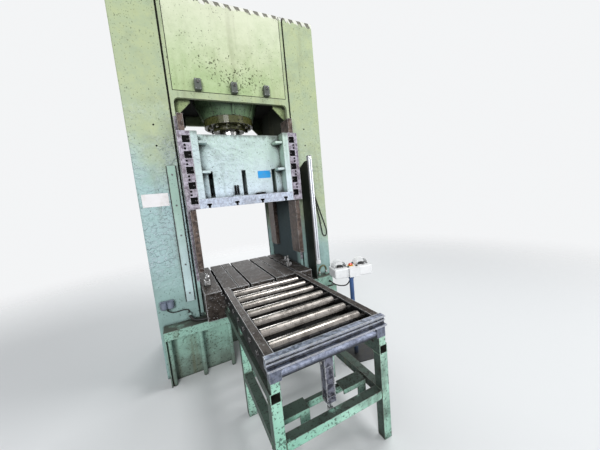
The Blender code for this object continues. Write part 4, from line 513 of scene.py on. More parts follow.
def near(tree, at, centre, reach):
    """1 at a centre and 0 past a reach along each axis: a soft mask of the scaled distance."""
    away = add(tree, "VectorMath", {0: at, 1: centre}, operation="SUBTRACT").outputs[0]
    scaled = stretched(tree, away, tuple(1.0 / r for r in reach))
    distance = add(tree, "VectorMath", {0: scaled}, operation="LENGTH").outputs["Value"]
    return mask(tree, distance, 1.0, 0.35)


def wandering(tree, at, value, amount):
    """A value with slow noise added, so that the border of a large patch wanders."""
    return calc(tree, "MULTIPLY_ADD", noise(tree, at, 1.7, 4.0, 0.6), amount, value)


# %% [markdown]
# Three marks belong to single coats: welts low on the frame and the slide, with painted
# highlight and shadow lines, slanted stripes along the top edge, and a dark greasy grey on the
# sides of the window that goes into painted shade high up. Each is a function that takes the
# coat so far and gives it back with one more layer, as a painter or the years would add it,
# with painted light and shade added the same way.

# %% Welts, stripes and painted shade on the window sides
STRIPES_FROM = 3.798
WINDOW_SIDE = 0.73


def welts_with_painted_light(tree, at, places, coat, lower):
    """Welts where the lower coat came off: the coat, and how much it swells. Each welt is a lump of noise
    with a painted shadow line round its foot and a painted highlight line along its crest, both drawn where
    the noise is close to a level, over a pale bluish painted sheen on the welted area. Noise, height and side say
    where welts are."""
    lumps = noise(tree, at, 17.0, 4.0, 0.55, (1.0, 1.0, 1.4))
    area = mask(tree, noise(tree, at, 1.9, 3.0, 0.5), 0.24, 0.46)
    for limit in (
        mask(tree, wandering(tree, at, places["Z"], 0.8), 3.3, 2.5),
        mask(tree, places["Z"], 0.8, 1.3),
        calc(tree, "MULTIPLY_ADD", mask(tree, places["X"], 0.4, -0.2), 0.7, 0.3),
    ):
        area = times(tree, area, limit)
    # Painted sheen: a pale bluish tint over the welted area.
    coat = fade(tree, times(tree, area, 0.34), coat, seen(184, 204, 216))
    # Painted shadow round each welt's foot, and painted highlight along its crest.
    for level, outer, inner, amount, colour in (
        (0.465, 0.026, 0.006, 0.34, darker(lower, 0.42)),
        (0.525, 0.036, 0.008, 0.50, seen(214, 228, 238)),
    ):
        away = calc(tree, "ABSOLUTE", calc(tree, "SUBTRACT", lumps, level))
        line = times(tree, mask(tree, away, outer, inner), area)
        coat = fade(tree, times(tree, line, amount), coat, colour)
    return coat, times(tree, mask(tree, lumps, 0.44, 0.58), area)


def striped_top(tree, at, places, coat):
    """Pale and grey slanted stripes along the top edge, ending at a ragged line below and left off faces that look
    up.
    """
    slope = calc(tree, "MULTIPLY_ADD", places["Z"], 6.0, times(tree, places["X"], 9.6))
    stripes = mask(tree, calc(tree, "FRACT", slope), 0.46, 0.50)
    ragged = calc(tree, "MULTIPLY_ADD", noise(tree, at, 26.0, 5.0, 0.7), 0.16, places["Z"])
    upright = mask(tree, facing(tree, "Z"), 0.7, 0.3, 0.9)
    kept = times(tree, mask(tree, ragged, STRIPES_FROM, STRIPES_FROM + 0.01), upright)
    return fade(tree, kept, coat, fade(tree, stripes, seen(226, 226, 218), seen(96, 92, 86)))


def shade_window_sides(tree, places, coat):
    """A dark greasy grey on the sides of the window, going near black high up as painted shade under the head: the
    coat, and where this tone lies.
    """
    sideways = mask(tree, calc(tree, "ABSOLUTE", facing(tree, "X")), 0.5, 0.9)
    inside = mask(tree, calc(tree, "ABSOLUTE", places["X"]), WINDOW_SIDE + 0.03, WINDOW_SIDE - 0.03)
    window_shade_mask = times(tree, times(tree, sideways, inside), mask(tree, places["Y"], 0.34, 0.44))
    # The lower tone is the bare greasy wall; the near black above it is painted shade.
    wall_and_shade_tone = fade(tree, mask(tree, places["Z"], 2.15, 2.50), seen(64, 76, 82), seen(13, 14, 13))
    return fade(tree, times(tree, window_shade_mask, 0.94), coat, wall_and_shade_tone), window_shade_mask


# %% [markdown]
# The coat itself is one function, because all coats of this press share their layers. They
# lie in the order in which they came: two tones and a mottle, the marks of a single coat,
# then runs, specks, grime, chips, bare edges, and corners darkened by dirt and painted shade.
# Dirt and chips are duller than the paint, and only bare edges are metal.

# %% Enamel
BROWN_OIL = seen(58, 48, 42)
FRAME_TOP = 3.76
CHIP_DEPTH = 0.004
WELT_DEPTH = 0.010


def enamel(
    name, upper, lower, under, turn_height=None, lean=0.0, edges=0.6, chips=0.4, chip_scale=22.0, specks=0.4,
    runs=0.5, grime=0.5, reach=0.05, run_colour=(0.13, 0.12, 0.06), grime_colour=(0.05, 0.045, 0.03),
    rough=0.42, welts=0.0, cluster=None, top_band=False, window_sides_shaded=False, painted_top_light=0.0, shaded_sides=None,
    pale_below=None, top_stain=None, splash=None,
):
    """A coat in two tones that meet at a height, or mix in patches where no height is given. The border
    sinks by lean for each metre to the right. Wear comes from the group. The rest is for single coats:
    a cluster of chips, painted shade on faces that look sideways, a pale tone below a level, a stained top, oil
    splashed from below."""
    finish, tree, shader, at = begin(name)
    if cluster is not None:
        chips = calc(tree, "MULTIPLY_ADD", near(tree, at, *cluster), 0.46, chips)
    got = add(tree, "Group", {
        "Position": at, "Edge Amount": edges, "Chip Scale": chip_scale, "Chip Amount": chips,
        "Speck Amount": specks, "Run Amount": runs, "Grime Amount": grime, "Corner Shade Reach": reach,
    }, node_tree=WEAR).outputs
    places = add(tree, "SeparateXYZ", {"Vector": at}).outputs
    if turn_height is None:
        tone = got["Patches"]
    else:
        border = calc(tree, "MULTIPLY_ADD", places["X"], lean, wandering(tree, at, places["Z"], 0.9))
        tone = mask(tree, border, turn_height + 0.15, turn_height + 0.75)
    coat = fade(tree, tone, lower, upper)
    mottle = mask(tree, noise(tree, at, 7.0, 9.0, 0.80), 0.30, 0.70)
    coat = fade(tree, calc(tree, "MULTIPLY_ADD", mottle, -0.34, 0.34), coat, darker(lower, 0.62))
    # Painted light: the coat turns paler towards the top, where more light falls on the head.
    if painted_top_light > 0:
        lit_high_up = mask(tree, calc(tree, "MULTIPLY_ADD", mottle, 0.30, places["Z"]), 2.9, 4.0, painted_top_light)
        coat = fade(tree, lit_high_up, coat, seen(226, 228, 208))
    if welts > 0:
        coat, swollen = welts_with_painted_light(tree, at, places, coat, lower)
    if top_band:
        coat = striped_top(tree, at, places, coat)
    if window_sides_shaded:
        coat, window_shade_mask = shade_window_sides(tree, places, coat)
    # Painted shade: faces that look sideways take a darker colour.
    if shaded_sides is not None:
        amount, side_shade_colour = shaded_sides
        sideways = mask(tree, calc(tree, "ABSOLUTE", facing(tree, "X")), 0.5, 0.9, amount)
        coat = fade(tree, sideways, coat, side_shade_colour)
    if top_stain is not None:
        drawn = noise(tree, at, 16.0, 5.0, 0.7, (1.0, 1.0, 0.3))
        ragged = calc(tree, "MULTIPLY_ADD", drawn, 0.16, places["Z"])
        coat = fade(tree, mask(tree, ragged, top_stain + 0.05, top_stain + 0.09, 0.62), coat, seen(74, 74, 72))
    if splash is not None:
        amount, splash_height = splash
        splashed = calc(tree, "MULTIPLY_ADD", noise(tree, at, 9.0, 6.0, 0.7), -0.55, places["Z"])
        coat = fade(tree, mask(tree, splashed, splash_height, splash_height - 0.42, amount), coat, BROWN_OIL)
    if pale_below is not None:
        level, pale = pale_below
        underside = mask(tree, places["Z"], level + 0.004, level - 0.004)
        topside = mask(tree, places["Z"], FRAME_TOP - 0.015, FRAME_TOP - 0.005)
        coat = fade(tree, calc(tree, "MAXIMUM", underside, topside), coat, pale)
    bare = fade(tree, noise(tree, at, 24.0, 4.0, 0.6), (0.34, 0.33, 0.31), (0.10, 0.075, 0.055))
    # The last layer darkens corners and grooves with dirt and with painted shade.
    for way, amount, colour in (
        ("Runs", 0.62, run_colour), ("Specks", 0.72, darker(under, 0.6)), ("Grime", 0.90, grime_colour),
        ("Chips", 1.0, under), ("Edges", 0.8, bare), ("Corner Dirt And Shade", 0.93, (0.014, 0.013, 0.010)),
    ):
        coat = fade(tree, times(tree, got[way], amount), coat, colour)
    dull = calc(tree, "MULTIPLY_ADD", got["Chips"], 0.28, rough)
    dull = calc(tree, "MULTIPLY_ADD", calc(tree, "MAXIMUM", got["Grime"], got["Corner Dirt And Shade"]), 0.20, dull)
    dull = calc(tree, "MULTIPLY_ADD", noise(tree, at, 9.0, 4.0, 0.6), 0.12, dull)
    if window_sides_shaded:
        dull = calc(tree, "MAXIMUM", dull, window_shade_mask)
    height = calc(tree, "MULTIPLY_ADD", got["Chips"], -0.4, times(tree, noise(tree, at, 48.0, 4.0, 0.55), 0.16))
    if welts > 0:
        height = calc(tree, "MULTIPLY_ADD", swollen, welts, height)
    fill(tree, shader, {
        "Base Color": coat, "Roughness": dull, "Metallic": times(tree, got["Edges"], 0.5),
        "Specular IOR Level": 0.34, "Normal": bumped(tree, height, 0.9, WELT_DEPTH if welts > 0 else CHIP_DEPTH),
    })
    return finish


# %% [markdown]
# Eight coats for the large forms. Their colours are written as the real coats show them in
# plain light, except the crown's hollow, whose near-black tone is partly painted shade. The amounts say
# how each form lives: the head is clean but chipped round its middle, the bed and the steps stand in oil,
# and the table stand's sides go near black with painted shade. A reach is how far the dirt and painted shade of
# corners spread.

# %% Coats of frame, head, bed, table and slide
YELLOW_GREEN = seen(186, 199, 154)
MINT = seen(162, 196, 192)
PRIMER = seen(54, 60, 40)
BLACK_OIL = seen(26, 27, 22)
CROWN_BOTTOM = 2.916
# The frame carries painted highlight and shadow on its welts, and painted shade high on its window sides.
frame_coat = enamel(
    "frame_enamel", seen(178, 189, 146), MINT, PRIMER, turn_height=1.67, lean=0.48, edges=0.45, chips=0.20,
    chip_scale=40.0, specks=0.62, runs=0.6, grime=0.5, welts=0.9, top_band=True, window_sides_shaded=True, splash=(0.16, 0.95),
)
# The head is painted paler towards its top, as light falls there.
head_coat = enamel(
    "head_enamel", YELLOW_GREEN, seen(172, 194, 142), seen(84, 92, 60), edges=0.5, chips=0.26, chip_scale=46.0,
    specks=0.50, runs=0.36, grime=0.30, cluster=((0.03, 0.25, 3.09), (0.66, 0.4, 0.42)), top_band=True,
    painted_top_light=0.66,
)
lower_coat = enamel(
    "lower_enamel", seen(174, 210, 194), seen(154, 196, 180), PRIMER, edges=0.9, chips=0.34, chip_scale=34.0,
    specks=0.9, runs=0.8, grime=1.1, splash=(0.7, 0.20), grime_colour=BROWN_OIL, reach=0.07,
)
# Painted shade: the crown's hollow is coloured near black, for its oil and for the shade inside the head.
oily_shaded_hollow_coat = enamel(
    "oily_and_shaded_hollow_enamel", seen(24, 29, 23), seen(13, 16, 13), BLACK_OIL,
    pale_below=(CROWN_BOTTOM, seen(172, 190, 138)), edges=0.7, chips=0.5, specks=0.9, runs=1.0, grime=1.2,
    grime_colour=BLACK_OIL, reach=0.42, rough=0.80,
)
cone_coat = enamel(
    "cylinder_cone_enamel", seen(150, 178, 132), seen(92, 120, 90), BLACK_OIL, edges=0.9, chips=0.45, specks=0.9,
    runs=1.0, grime=0.9, grime_colour=BLACK_OIL, reach=0.13, rough=0.34,
)
# Painted shade: the stand's sideways faces go near black, and its corners dark far out.
stand_coat = enamel(
    "table_stand_enamel", seen(190, 232, 214), seen(150, 206, 184), BLACK_OIL, edges=1.0, chips=0.52,
    chip_scale=64.0, specks=1.0, runs=1.0, grime=2.6, grime_colour=seen(34, 30, 27), reach=0.18,
    shaded_sides=(0.88, seen(26, 26, 23)),
)
# Painted shade on the slide's sideways faces; its welts carry painted highlight and shadow.
slide_coat = enamel(
    "slide_enamel", seen(198, 222, 208), seen(226, 240, 248), seen(66, 74, 62), turn_height=2.05, edges=0.8,
    chips=0.10, chip_scale=40.0, specks=0.58, runs=0.8, grime=0.9, run_colour=(0.22, 0.29, 0.25), reach=0.09,
    shaded_sides=(0.5, seen(112, 146, 116)), top_stain=2.44, welts=0.5,
)
guard_coat = enamel(
    "guard_bar_enamel", seen(172, 206, 190), seen(196, 220, 222), PRIMER, turn_height=1.45, edges=0.9, chips=0.2,
    chip_scale=34.0, specks=0.5, runs=0.6, grime=0.5, reach=0.03,
)
COATS = (frame_coat, head_coat, lower_coat, oily_shaded_hollow_coat, cone_coat, stand_coat, slide_coat, guard_coat)
print("coats:", ", ".join(coat.name for coat in COATS))

# %% [markdown]
# Steel. Ways, clamping plates and rollers are left bare and live under oil. The base is a
# dark and a light steel tone mixed by the oil film, the lay carries roughness and a fine
# bump, and nicks shine through. Roughness is lowest where the film is thick, so highlights
# break up in blotches, as they do on a real slotted plate.

# %% Bare and oily steel
LAY_DEPTH = 0.0014


def steel(
    name, light, dark, brown, lay, film_scale, nick_scale, shine, metal, nicks, edges, brown_amount, speck_glints=0.3,
    shade=None, reach=0.03, edge_width=0.004, contrast=0.22, gloss=0.4, relief_strength=0.45,
):
    """Machined steel under oil. The lay is the stretch of its grain along each axis. Shade is painted
    shade on faces that look down: an amount of near black, and the two upward slants between which it comes in."""
    finish, tree, shader, at = begin(name)
    got = add(tree, "Group", {
        "Position": at, "Lay Stretch": lay, "Film Scale": film_scale, "Nick Scale": nick_scale,
    }, node_tree=STEEL).outputs
    worn = add(tree, "Group", {
        "Position": at, "Edge Amount": edges, "Edge Radius": edge_width, "Chip Scale": 34.0,
        "Chip Amount": 0.35, "Speck Amount": 0.6, "Corner Shade Reach": reach,
    }, node_tree=WEAR).outputs
    tone = calc(tree, "MULTIPLY_ADD", got["Lay"], 0.5, times(tree, got["Film"], 0.5), clamp=True)
    colour = fade(tree, mask(tree, tone, 0.5 - contrast, 0.5 + contrast), light, dark)
    stained = mask(tree, noise(tree, at, 5.5, 6.0, 0.65), 0.44, 0.68)
    colour = fade(tree, times(tree, stained, brown_amount), colour, brown)
    colour = fade(tree, worn["Chips"], colour, darker(dark, 0.35))
    # Bright bare metal at nicks, worn edges and specks: real wear, and also painted highlight where the bright edges
    # and specks stand in for glints.
    bare_wear_and_glints = calc(tree, "MAXIMUM", times(tree, got["Nicks"], nicks), worn["Edges"])
    bare_wear_and_glints = calc(tree, "MAXIMUM", bare_wear_and_glints, times(tree, worn["Specks"], speck_glints))
    # Painted shade: faces that look down or sideways go near black, and their bright wear fades with them.
    if shade is not None:
        amount, clean, black = shade
        painted_underside_shade = mask(tree, facing(tree, "Z"), clean, black, amount)
        colour = fade(tree, painted_underside_shade, colour, (0.008, 0.008, 0.008))
        bare_wear_and_glints = times(tree, bare_wear_and_glints, calc(tree, "MULTIPLY_ADD", painted_underside_shade, -0.8, 1.0))
    colour = fade(tree, bare_wear_and_glints, colour, (0.74, 0.75, 0.77))
    # Dirt and painted shade in corners, slots and grooves, where nearby solids hide the light.
    colour = fade(tree, times(tree, worn["Corner Dirt And Shade"], 0.92), colour, (0.010, 0.009, 0.008))
    rough = calc(tree, "MULTIPLY_ADD", got["Film"], -0.10, shine + 0.10)
    height = calc(tree, "MULTIPLY_ADD", got["Nicks"], -0.5, times(tree, got["Lay"], 0.5))
    fill(tree, shader, {
        "Base Color": colour, "Roughness": calc(tree, "MULTIPLY_ADD", got["Lay"], 0.16, rough), "Metallic": metal,
        "Specular IOR Level": gloss, "Normal": bumped(tree, height, relief_strength, LAY_DEPTH),
    })
    return finish


# %% [markdown]
# Twelve steels. The lay follows the tool that cut each part: along the bolster's slots,
# across the platen and down the guides, while a bolt shows none. The dark coats of the
# cylinder's gland and barrel come with them, and the right wing's near-black coat, which is partly painted shade of
# its side.

# %% Steels, and the coats of cylinder and wing
ALONG_X = (5.0, 150.0, 150.0)
ALONG_Y = (150.0, 5.0, 150.0)
ALONG_Z = (150.0, 150.0, 5.0)
NO_WAY = (60.0, 60.0, 60.0)
bolster_steel = steel(
    "bolster_steel", seen(74, 68, 64), seen(34, 30, 27), seen(48, 40, 34), ALONG_Y, 12.0, 30.0, 0.50, 0.15,
    0.7, 1.0, 0.35, speck_glints=0.6, reach=0.06, edge_width=0.007, contrast=0.34, gloss=0.07,
)
platen_steel = steel(
    "platen_steel", seen(198, 210, 226), seen(142, 146, 162), seen(92, 84, 84), ALONG_X, 44.0, 40.0, 0.40, 0.5,
    0.7, 1.0, 0.32, reach=0.06, contrast=0.5,
)
guide_steel = steel(
    "guide_steel", seen(172, 167, 180), seen(104, 96, 108), seen(84, 72, 68), ALONG_Z, 34.0, 46.0, 0.42, 0.4,
    0.9, 0.9, 0.5, reach=0.05, contrast=0.3,
)
rail_grease = steel(
    "greased_rail_steel", seen(102, 88, 80), seen(54, 45, 41), seen(66, 50, 40), (60.0, 60.0, 9.0), 26.0, 30.0,
    0.32, 0.4, 0.4, 0.7, 0.5, reach=0.05, contrast=0.3,
)
# The side rails, rollers and front tube carry painted shade: near black on faces that look down or sideways.
channel_steel = steel(
    "side_rail_steel", seen(84, 79, 75), seen(50, 45, 42), seen(56, 45, 38), ALONG_Y, 14.0, 24.0, 0.46, 0.3,
    0.5, 1.0, 0.5, shade=(0.96, 0.7, 0.3), edge_width=0.007, contrast=0.3, gloss=0.12,
)
roller_steel = steel(
    "roller_steel", seen(158, 153, 148), seen(112, 107, 102), seen(90, 82, 74), (60.0, 10.0, 10.0), 16.0, 50.0,
    0.15, 0.95, 0.0, 0.3, 0.20, speck_glints=0.0, contrast=0.6, shade=(0.94, 0.66, 0.0), relief_strength=0.02,
)
# The stop bar's strong bright edges are partly painted highlight lines along its lips.
stop_steel = steel(
    "stop_bar_steel", seen(164, 172, 192), seen(80, 84, 98), seen(48, 46, 48), ALONG_X, 30.0, 40.0, 0.26, 0.85,
    0.5, 1.7, 0.4, speck_glints=0.25, edge_width=0.009, contrast=0.34,
)
tube_steel = steel(
    "front_tube_steel", seen(164, 172, 194), seen(112, 118, 136), seen(84, 84, 96), ALONG_X, 44.0, 40.0, 0.28,
    0.75, 0.4, 0.8, 0.3, contrast=0.4, shade=(0.90, 0.42, -0.42),
)
rod_chrome = steel(
    "rod_chrome", seen(214, 216, 218), seen(150, 150, 150), seen(110, 100, 80), ALONG_Z, 4.0, 20.0, 0.12, 1.0,
    0.3, 0.5, 0.25,
)
bolt_steel = steel(
    "bolt_steel", seen(190, 190, 190), seen(96, 94, 92), seen(92, 72, 54), NO_WAY, 40.0, 60.0, 0.30, 0.9,
    0.5, 0.8, 0.3, reach=0.02,
)
black_bolt = steel(
    "black_bolt_steel", seen(64, 62, 62), seen(28, 27, 27), seen(50, 40, 32), NO_WAY, 40.0, 60.0, 0.34, 0.6,
    0.5, 0.6, 0.3, reach=0.02,
)
cast_aluminium = steel(
    "air_cylinder_aluminium", seen(120, 122, 136), seen(54, 54, 64), seen(40, 36, 34), (30.0, 30.0, 90.0), 22.0,
    40.0, 0.42, 0.5, 0.8, 1.0, 0.6, speck_glints=0.5,
)
oily_coat = enamel(
    "gland_paint", seen(122, 120, 66), seen(76, 80, 46), seen(26, 25, 16), edges=0.9, chips=0.6, specks=1.0,
    runs=0.8, grime=0.8, rough=0.20, reach=0.09,
)
# Partly painted shade: the wing is coloured near black as its seen side lies in shade.
dark_shaded_wing_coat = enamel(
    "guard_wing_dark_paint_and_shade", seen(34, 40, 34), seen(24, 29, 25), seen(84, 96, 76), edges=0.7, chips=0.12, specks=0.2,
    runs=0.4, grime=0.4,
)
barrel_coat = enamel(
    "barrel_paint", seen(64, 70, 62), seen(48, 52, 46), seen(24, 24, 20), edges=0.5, grime=0.6,
)
print("a bare steel has", len(platen_steel.node_tree.nodes), "nodes")

# %% [markdown]
# Small finishes. Powder coat, enamelled post, moulded plastic, rubber and extruded aluminium
# each need little, but none of them is one flat colour: powder coat has orange peel,
# plastic has a satin grain, rubber is dusty, and an extrusion has draw lines along its length.

# %% Powder coat, plastic, rubber and aluminium


def moulded(
    name, colour, dust_colour, rough, grain_scale, grain_depth, dust=0.3, metal=0.0, coat=0.0, draw=None, gloss=0.5,
):
    """One tone with a fine grain in its height, and dust or grease in clouds over it."""
    finish, tree, shader, at = begin(name)
    clouds = mask(tree, noise(tree, at, 11.0, 6.0, 0.62), 0.42, 0.72, dust)
    shading = mask(tree, noise(tree, at, 5.0, 3.0, 0.5), 0.3, 0.7, 0.35)
    tone = fade(tree, shading, colour, darker(colour, 0.72))
    grain = noise(tree, at, grain_scale, 2.0, 0.5, draw)
    fill(tree, shader, {
        "Base Color": fade(tree, clouds, tone, dust_colour), "Metallic": metal, "Coat Weight": coat,
        "Roughness": calc(tree, "MULTIPLY_ADD", clouds, 0.25, rough), "Specular IOR Level": gloss,
        "Normal": bumped(tree, grain, 0.4, grain_depth),
    })
    return finish


# %% [markdown]
# The small finishes by name. A moulded one gives its tone and the tone of its dust, then its
# roughness, the scale and depth of its grain and the amount of dust.

# %% Finishes of console, castings, rubber, plastic and plates
console_coat = enamel(
    "console_powder_coat", seen(250, 251, 252), seen(242, 244, 246), seen(130, 128, 122), edges=0.4, chips=0.05,
    chip_scale=36.0, specks=0.1, runs=0.2, grime=0.25, grime_colour=(0.24, 0.23, 0.21), reach=0.02,
)
post_coat = enamel(
    "console_post_enamel", seen(70, 104, 158), seen(34, 38, 46), seen(30, 36, 50), turn_height=0.35, edges=0.7,
    chips=0.25, chip_scale=30.0, specks=0.6, runs=0.3,
)
weld_steel = enamel(
    "painted_weld", seen(112, 158, 134), seen(80, 118, 96), BLACK_OIL, edges=0.9, chips=0.5, chip_scale=60.0,
    specks=1.0, runs=0.2, grime=1.6, grime_colour=BROWN_OIL,
)
switch_coat = moulded("switch_box_casting", seen(84, 90, 84), seen(36, 36, 30), 0.5, 160.0, 0.0008, 0.5)
socket_coat = moulded("socket_casting", seen(122, 132, 150), seen(60, 60, 62), 0.48, 140.0, 0.0008, 0.5)
rubber = moulded("black_cable_jacket", seen(30, 30, 31), seen(84, 80, 74), 0.55, 220.0, 0.0004, 0.45)
seal_rubber = moulded("wiper_rubber", seen(24, 24, 24), seen(60, 52, 40), 0.4, 180.0, 0.0003)
olive_hose = moulded("olive_hose_cover", seen(92, 96, 62), seen(44, 40, 26), 0.45, 190.0, 0.0006, 0.6)
extrusion = moulded(
    "curtain_aluminium", seen(236, 238, 244), seen(150, 150, 146), 0.34, 1.0, 0.0003, 0.25, metal=0.55, draw=ALONG_Z,
)
white_plastic = moulded("white_plug_plastic", seen(226, 228, 230), seen(140, 138, 132), 0.38, 120.0, 0.0003)
black_plastic = moulded(
    "black_button_plastic", seen(34, 34, 36), seen(90, 88, 84), 0.32, 120.0, 0.0003, 0.35, coat=0.2,
)
red_plastic = moulded("red_button_plastic", seen(214, 62, 30), seen(96, 50, 36), 0.30, 100.0, 0.0003, 0.2, coat=0.4)
yellow_plastic = moulded("yellow_ring_plastic", seen(232, 182, 36), seen(110, 90, 50), 0.36, 100.0, 0.0003, 0.25)
blue_plate = moulded("blank_blue_tag", seen(10, 158, 232), seen(120, 130, 130), 0.42, 60.0, 0.0002, 0.25)
pale_plate = moulded("blank_sign_plate", seen(242, 240, 242), seen(178, 166, 150), 0.45, 50.0, 0.0003)
smoked_lens = moulded("curtain_lens", seen(158, 162, 176), seen(120, 120, 124), 0.16, 40.0, 0.0001, coat=0.4)
black_oxide = moulded("black_oxide_steel", seen(13, 13, 14), seen(32, 29, 27), 0.70, 180.0, 0.0003, 0.2, gloss=0.08)
lens_glass = moulded("dark_lens", seen(40, 20, 26), seen(90, 80, 80), 0.12, 40.0, 0.0001, 0.2, coat=0.6)
print("a moulded finish has", len(rubber.node_tree.nodes), "nodes")

# %% [markdown]
# Now every solid that is kept as it is gets its finish. One table says which, grouped as a
# painter would mask the machine.

# %% Dress the kept solids
DRESS = {
    frame_coat: ["left_upright", "right_upright", "front_frame_plate", "rear_frame_plate"],
    guard_coat: ["guard_bar_left"],
    head_coat: ["crown_cover"],
    oily_shaded_hollow_coat: ["crown"],
    cone_coat: ["cylinder_housing"],
    lower_coat: ["bed", "left_step", "right_step", "valve_block"],
    stand_coat: ["table_stand"],
    slide_coat: ["slide_body"],
    bolster_steel: ["bolster"],
    platen_steel: ["slide_platen"],
    guide_steel: ["guide_plate_left", "guide_plate_right", "edge_strip_left", "edge_strip_right"],
    rail_grease: ["gib_rail_front_left", "gib_rail_front_right", "gib_rail_rear_left", "gib_rail_rear_right"],
    channel_steel: ["side_rail_left", "side_rail_right"],
    roller_steel: ["roller_%d" % i for i in range(1, 8)],
    stop_steel: ["stop_bar"],
    tube_steel: ["front_tube"],
    rod_chrome: ["piston_rod", "air_rod"],
    bolt_steel: ["die_clamp_left", "die_clamp_right"],
    oily_coat: ["cylinder_gland"],
    dark_shaded_wing_coat: ["guard_wing_right"],
    barrel_coat: ["cylinder_barrel"],
    console_coat: ["console_box"],
    post_coat: ["console_post"],
    switch_coat: ["switch_box_left", "switch_box_middle", "switch_box_right"],
    socket_coat: ["socket_pair"],
    extrusion: ["light_curtain"],
    cast_aluminium: ["air_cylinder"],
    white_plastic: ["curtain_plug"],
    olive_hose: ["valve_hose"],
    black_plastic: ["palm_button_left", "palm_button_right"],
    red_plastic: ["stop_button"],
}
for finish, names in DRESS.items():
    for name in names:
        nodes[name].data.materials.clear()
        nodes[name].data.materials.append(finish)
print("dressed", sum(len(names) for names in DRESS.values()), "of", len(nodes), "solids")

# %% [markdown]
# Cords in their jackets. The leads are black rubber gone grey with dust. The drain hose is
# the same rubber, thicker. Where each leaves a housing it gets its strain relief: a ribbed
# sleeve that follows the first bend and thins out along it.

# %% Jackets and strain reliefs
for jacket, _, _ in CORDS.values():
    jacket.data.materials.append(rubber)


def relief(name, cord, length, far_end=False):
    """A sleeve round one end of a cord, from 1.9 to 1.2 radii, with a rib every 4 mm."""
    _, line, radius = CORDS[cord]
    line = line[::-1] if far_end else line
    run = np.concatenate([[0.0], np.cumsum(np.linalg.norm(np.diff(line, axis=0), axis=1))])
    even = np.linspace(0.0, length, 40)
    path = np.stack([np.interp(even, run, line[:, k]) for k in range(3)], axis=1)
    ribs = 0.10 * np.sign(np.sin(even / 0.004 * np.pi))
    outside = radius * (1.9 - 0.7 * even / length + ribs)
    wall = np.concatenate([circles(path, outside, 18), circles(path, radius + 0.0002, 18)[::-1]])
    make(name, skin(wall, loop=True), "frame", seal_rubber)


relief("curtain_relief_out", "curtain_cable", 0.034)
relief("curtain_relief_back", "curtain_cable", 0.028, far_end=True)
relief("socket_relief", "socket_cable", 0.026)
relief("console_relief", "console_cable", 0.045)
relief("console_gland", "console_cable", 0.030, far_end=True)
print(len(CORDS), "jackets, with strain reliefs at five ends")

# %% [markdown]
# Fasteners. A screw head is what tells the eye how big a machine is, so they are modelled
# rather than drawn: a stamped hexagon head on its washer, and a socket head with its
# hexagon recess. Each is one turned profile whose radius may change round the turn. A row
# of them is one array product and one object, with the turn of each head chosen by its
# number so that no two stand alike.

# %% Bolt heads, socket screws and domes
HEX_SIDES = 24


def hexagon(across):
    """Radius round a hexagon: (across / 2) / cos(((angle + 30) mod 60) - 30), in degrees."""
    angle = np.arange(HEX_SIDES) * 2 * np.pi / HEX_SIDES
    return across / 2 / np.cos((angle + np.pi / 6) % (np.pi / 3) - np.pi / 6)


def turned(profile, loop=False, sides=HEX_SIDES):
    """A profile of (radius, height) pairs turned about Z. A radius may change round the turn."""
    angle = np.arange(sides) * 2 * np.pi / sides
    rings = []
    for radius, height in profile:
        reach = np.broadcast_to(radius, sides)
        rings.append(np.stack([reach * np.cos(angle), reach * np.sin(angle), np.full(sides, height)], axis=1))
    return skin(rings, loop)


def bolt_head(across, washer=True):
    """A hexagon head with a chamfered crown and a stamped dish, on a washer."""
    flats = hexagon(across)
    low = 0.13 * across if washer else 0.0
    foot = [(0.66 * across, 0.0), (0.66 * across, low)] if washer else []
    crown = np.minimum(flats, 0.54 * across)
    return turned(foot + [
        (flats, low), (flats, low + 0.33 * across), (crown, low + 0.36 * across),
        (0.46 * across, low + 0.41 * across), (0.36 * across, low + 0.41 * across),
        (0.33 * across, low + 0.38 * across),
    ])


def socket_head(radius, height):
    """A socket-head screw: a turned head with a hexagon recess."""
    return turned([
        (radius, 0.0), (radius, 0.86 * height), (0.9 * radius, height), (0.64 * radius, height),
        (hexagon(1.05 * radius), 0.94 * height), (hexagon(1.05 * radius), 0.4 * height),
    ])


def dome(radius, height):
    """A rivet or a cap: a low dome."""
    rise = np.linspace(0.0, 0.46 * np.pi, 6)
    return turned([(radius, -0.1 * height), *zip(radius * np.cos(rise), height * np.sin(rise))])


# %% [markdown]
# A bare plate is a rounded rectangle with a soft upper edge, and a weld is a round bead whose
# radius swells at every ripple. Both go through the same rings as the screws.

# %% Plates and weld beads


def plate(width, height, thick, corner=0.003, edge=0.0006):
    """A rounded rectangle with a softened upper edge, its face towards Z."""
    angle = np.concatenate([np.linspace(0.0, np.pi / 2, 6) + k * np.pi / 2 for k in range(4)])
    right, up = np.repeat([(1, -1, -1, 1), (1, 1, -1, -1)], 6, axis=1)
    rings = []
    for inset, level in ((0.0, 0.0), (0.0, thick - edge), (edge, thick)):
        x = right * (width / 2 - corner) + (corner - inset) * np.cos(angle)
        y = up * (height / 2 - corner) + (corner - inset) * np.sin(angle)
        rings.append(np.stack([x, y, np.full(24, level)], axis=1))
    return skin(rings)


def weld(start, end, size=0.0042):
    """A bead from start to end: a round line that swells by a sixth at each ripple of 4.5 mm."""
    start, end = np.array(start, float), np.array(end, float)
    length = np.linalg.norm(end - start)
    share = np.linspace(0.0, 1.0, max(int(length / 0.0018), 8))
    swell = 1.0 + 0.17 * np.abs(np.sin(share * length / 0.0045 * np.pi))
    ends = np.clip(np.minimum(share, 1.0 - share) * length / size, 0.2, 1.0) ** 0.5
    return skin(circles(start + share[:, None] * (end - start), size * swell * ends, 8))


# %% [markdown]
# Placing. A part is made once at the origin, with its Z upwards. Each place is a matrix that
# stands it somewhere, and all places together are one product.

# %% Placing and repeating a part


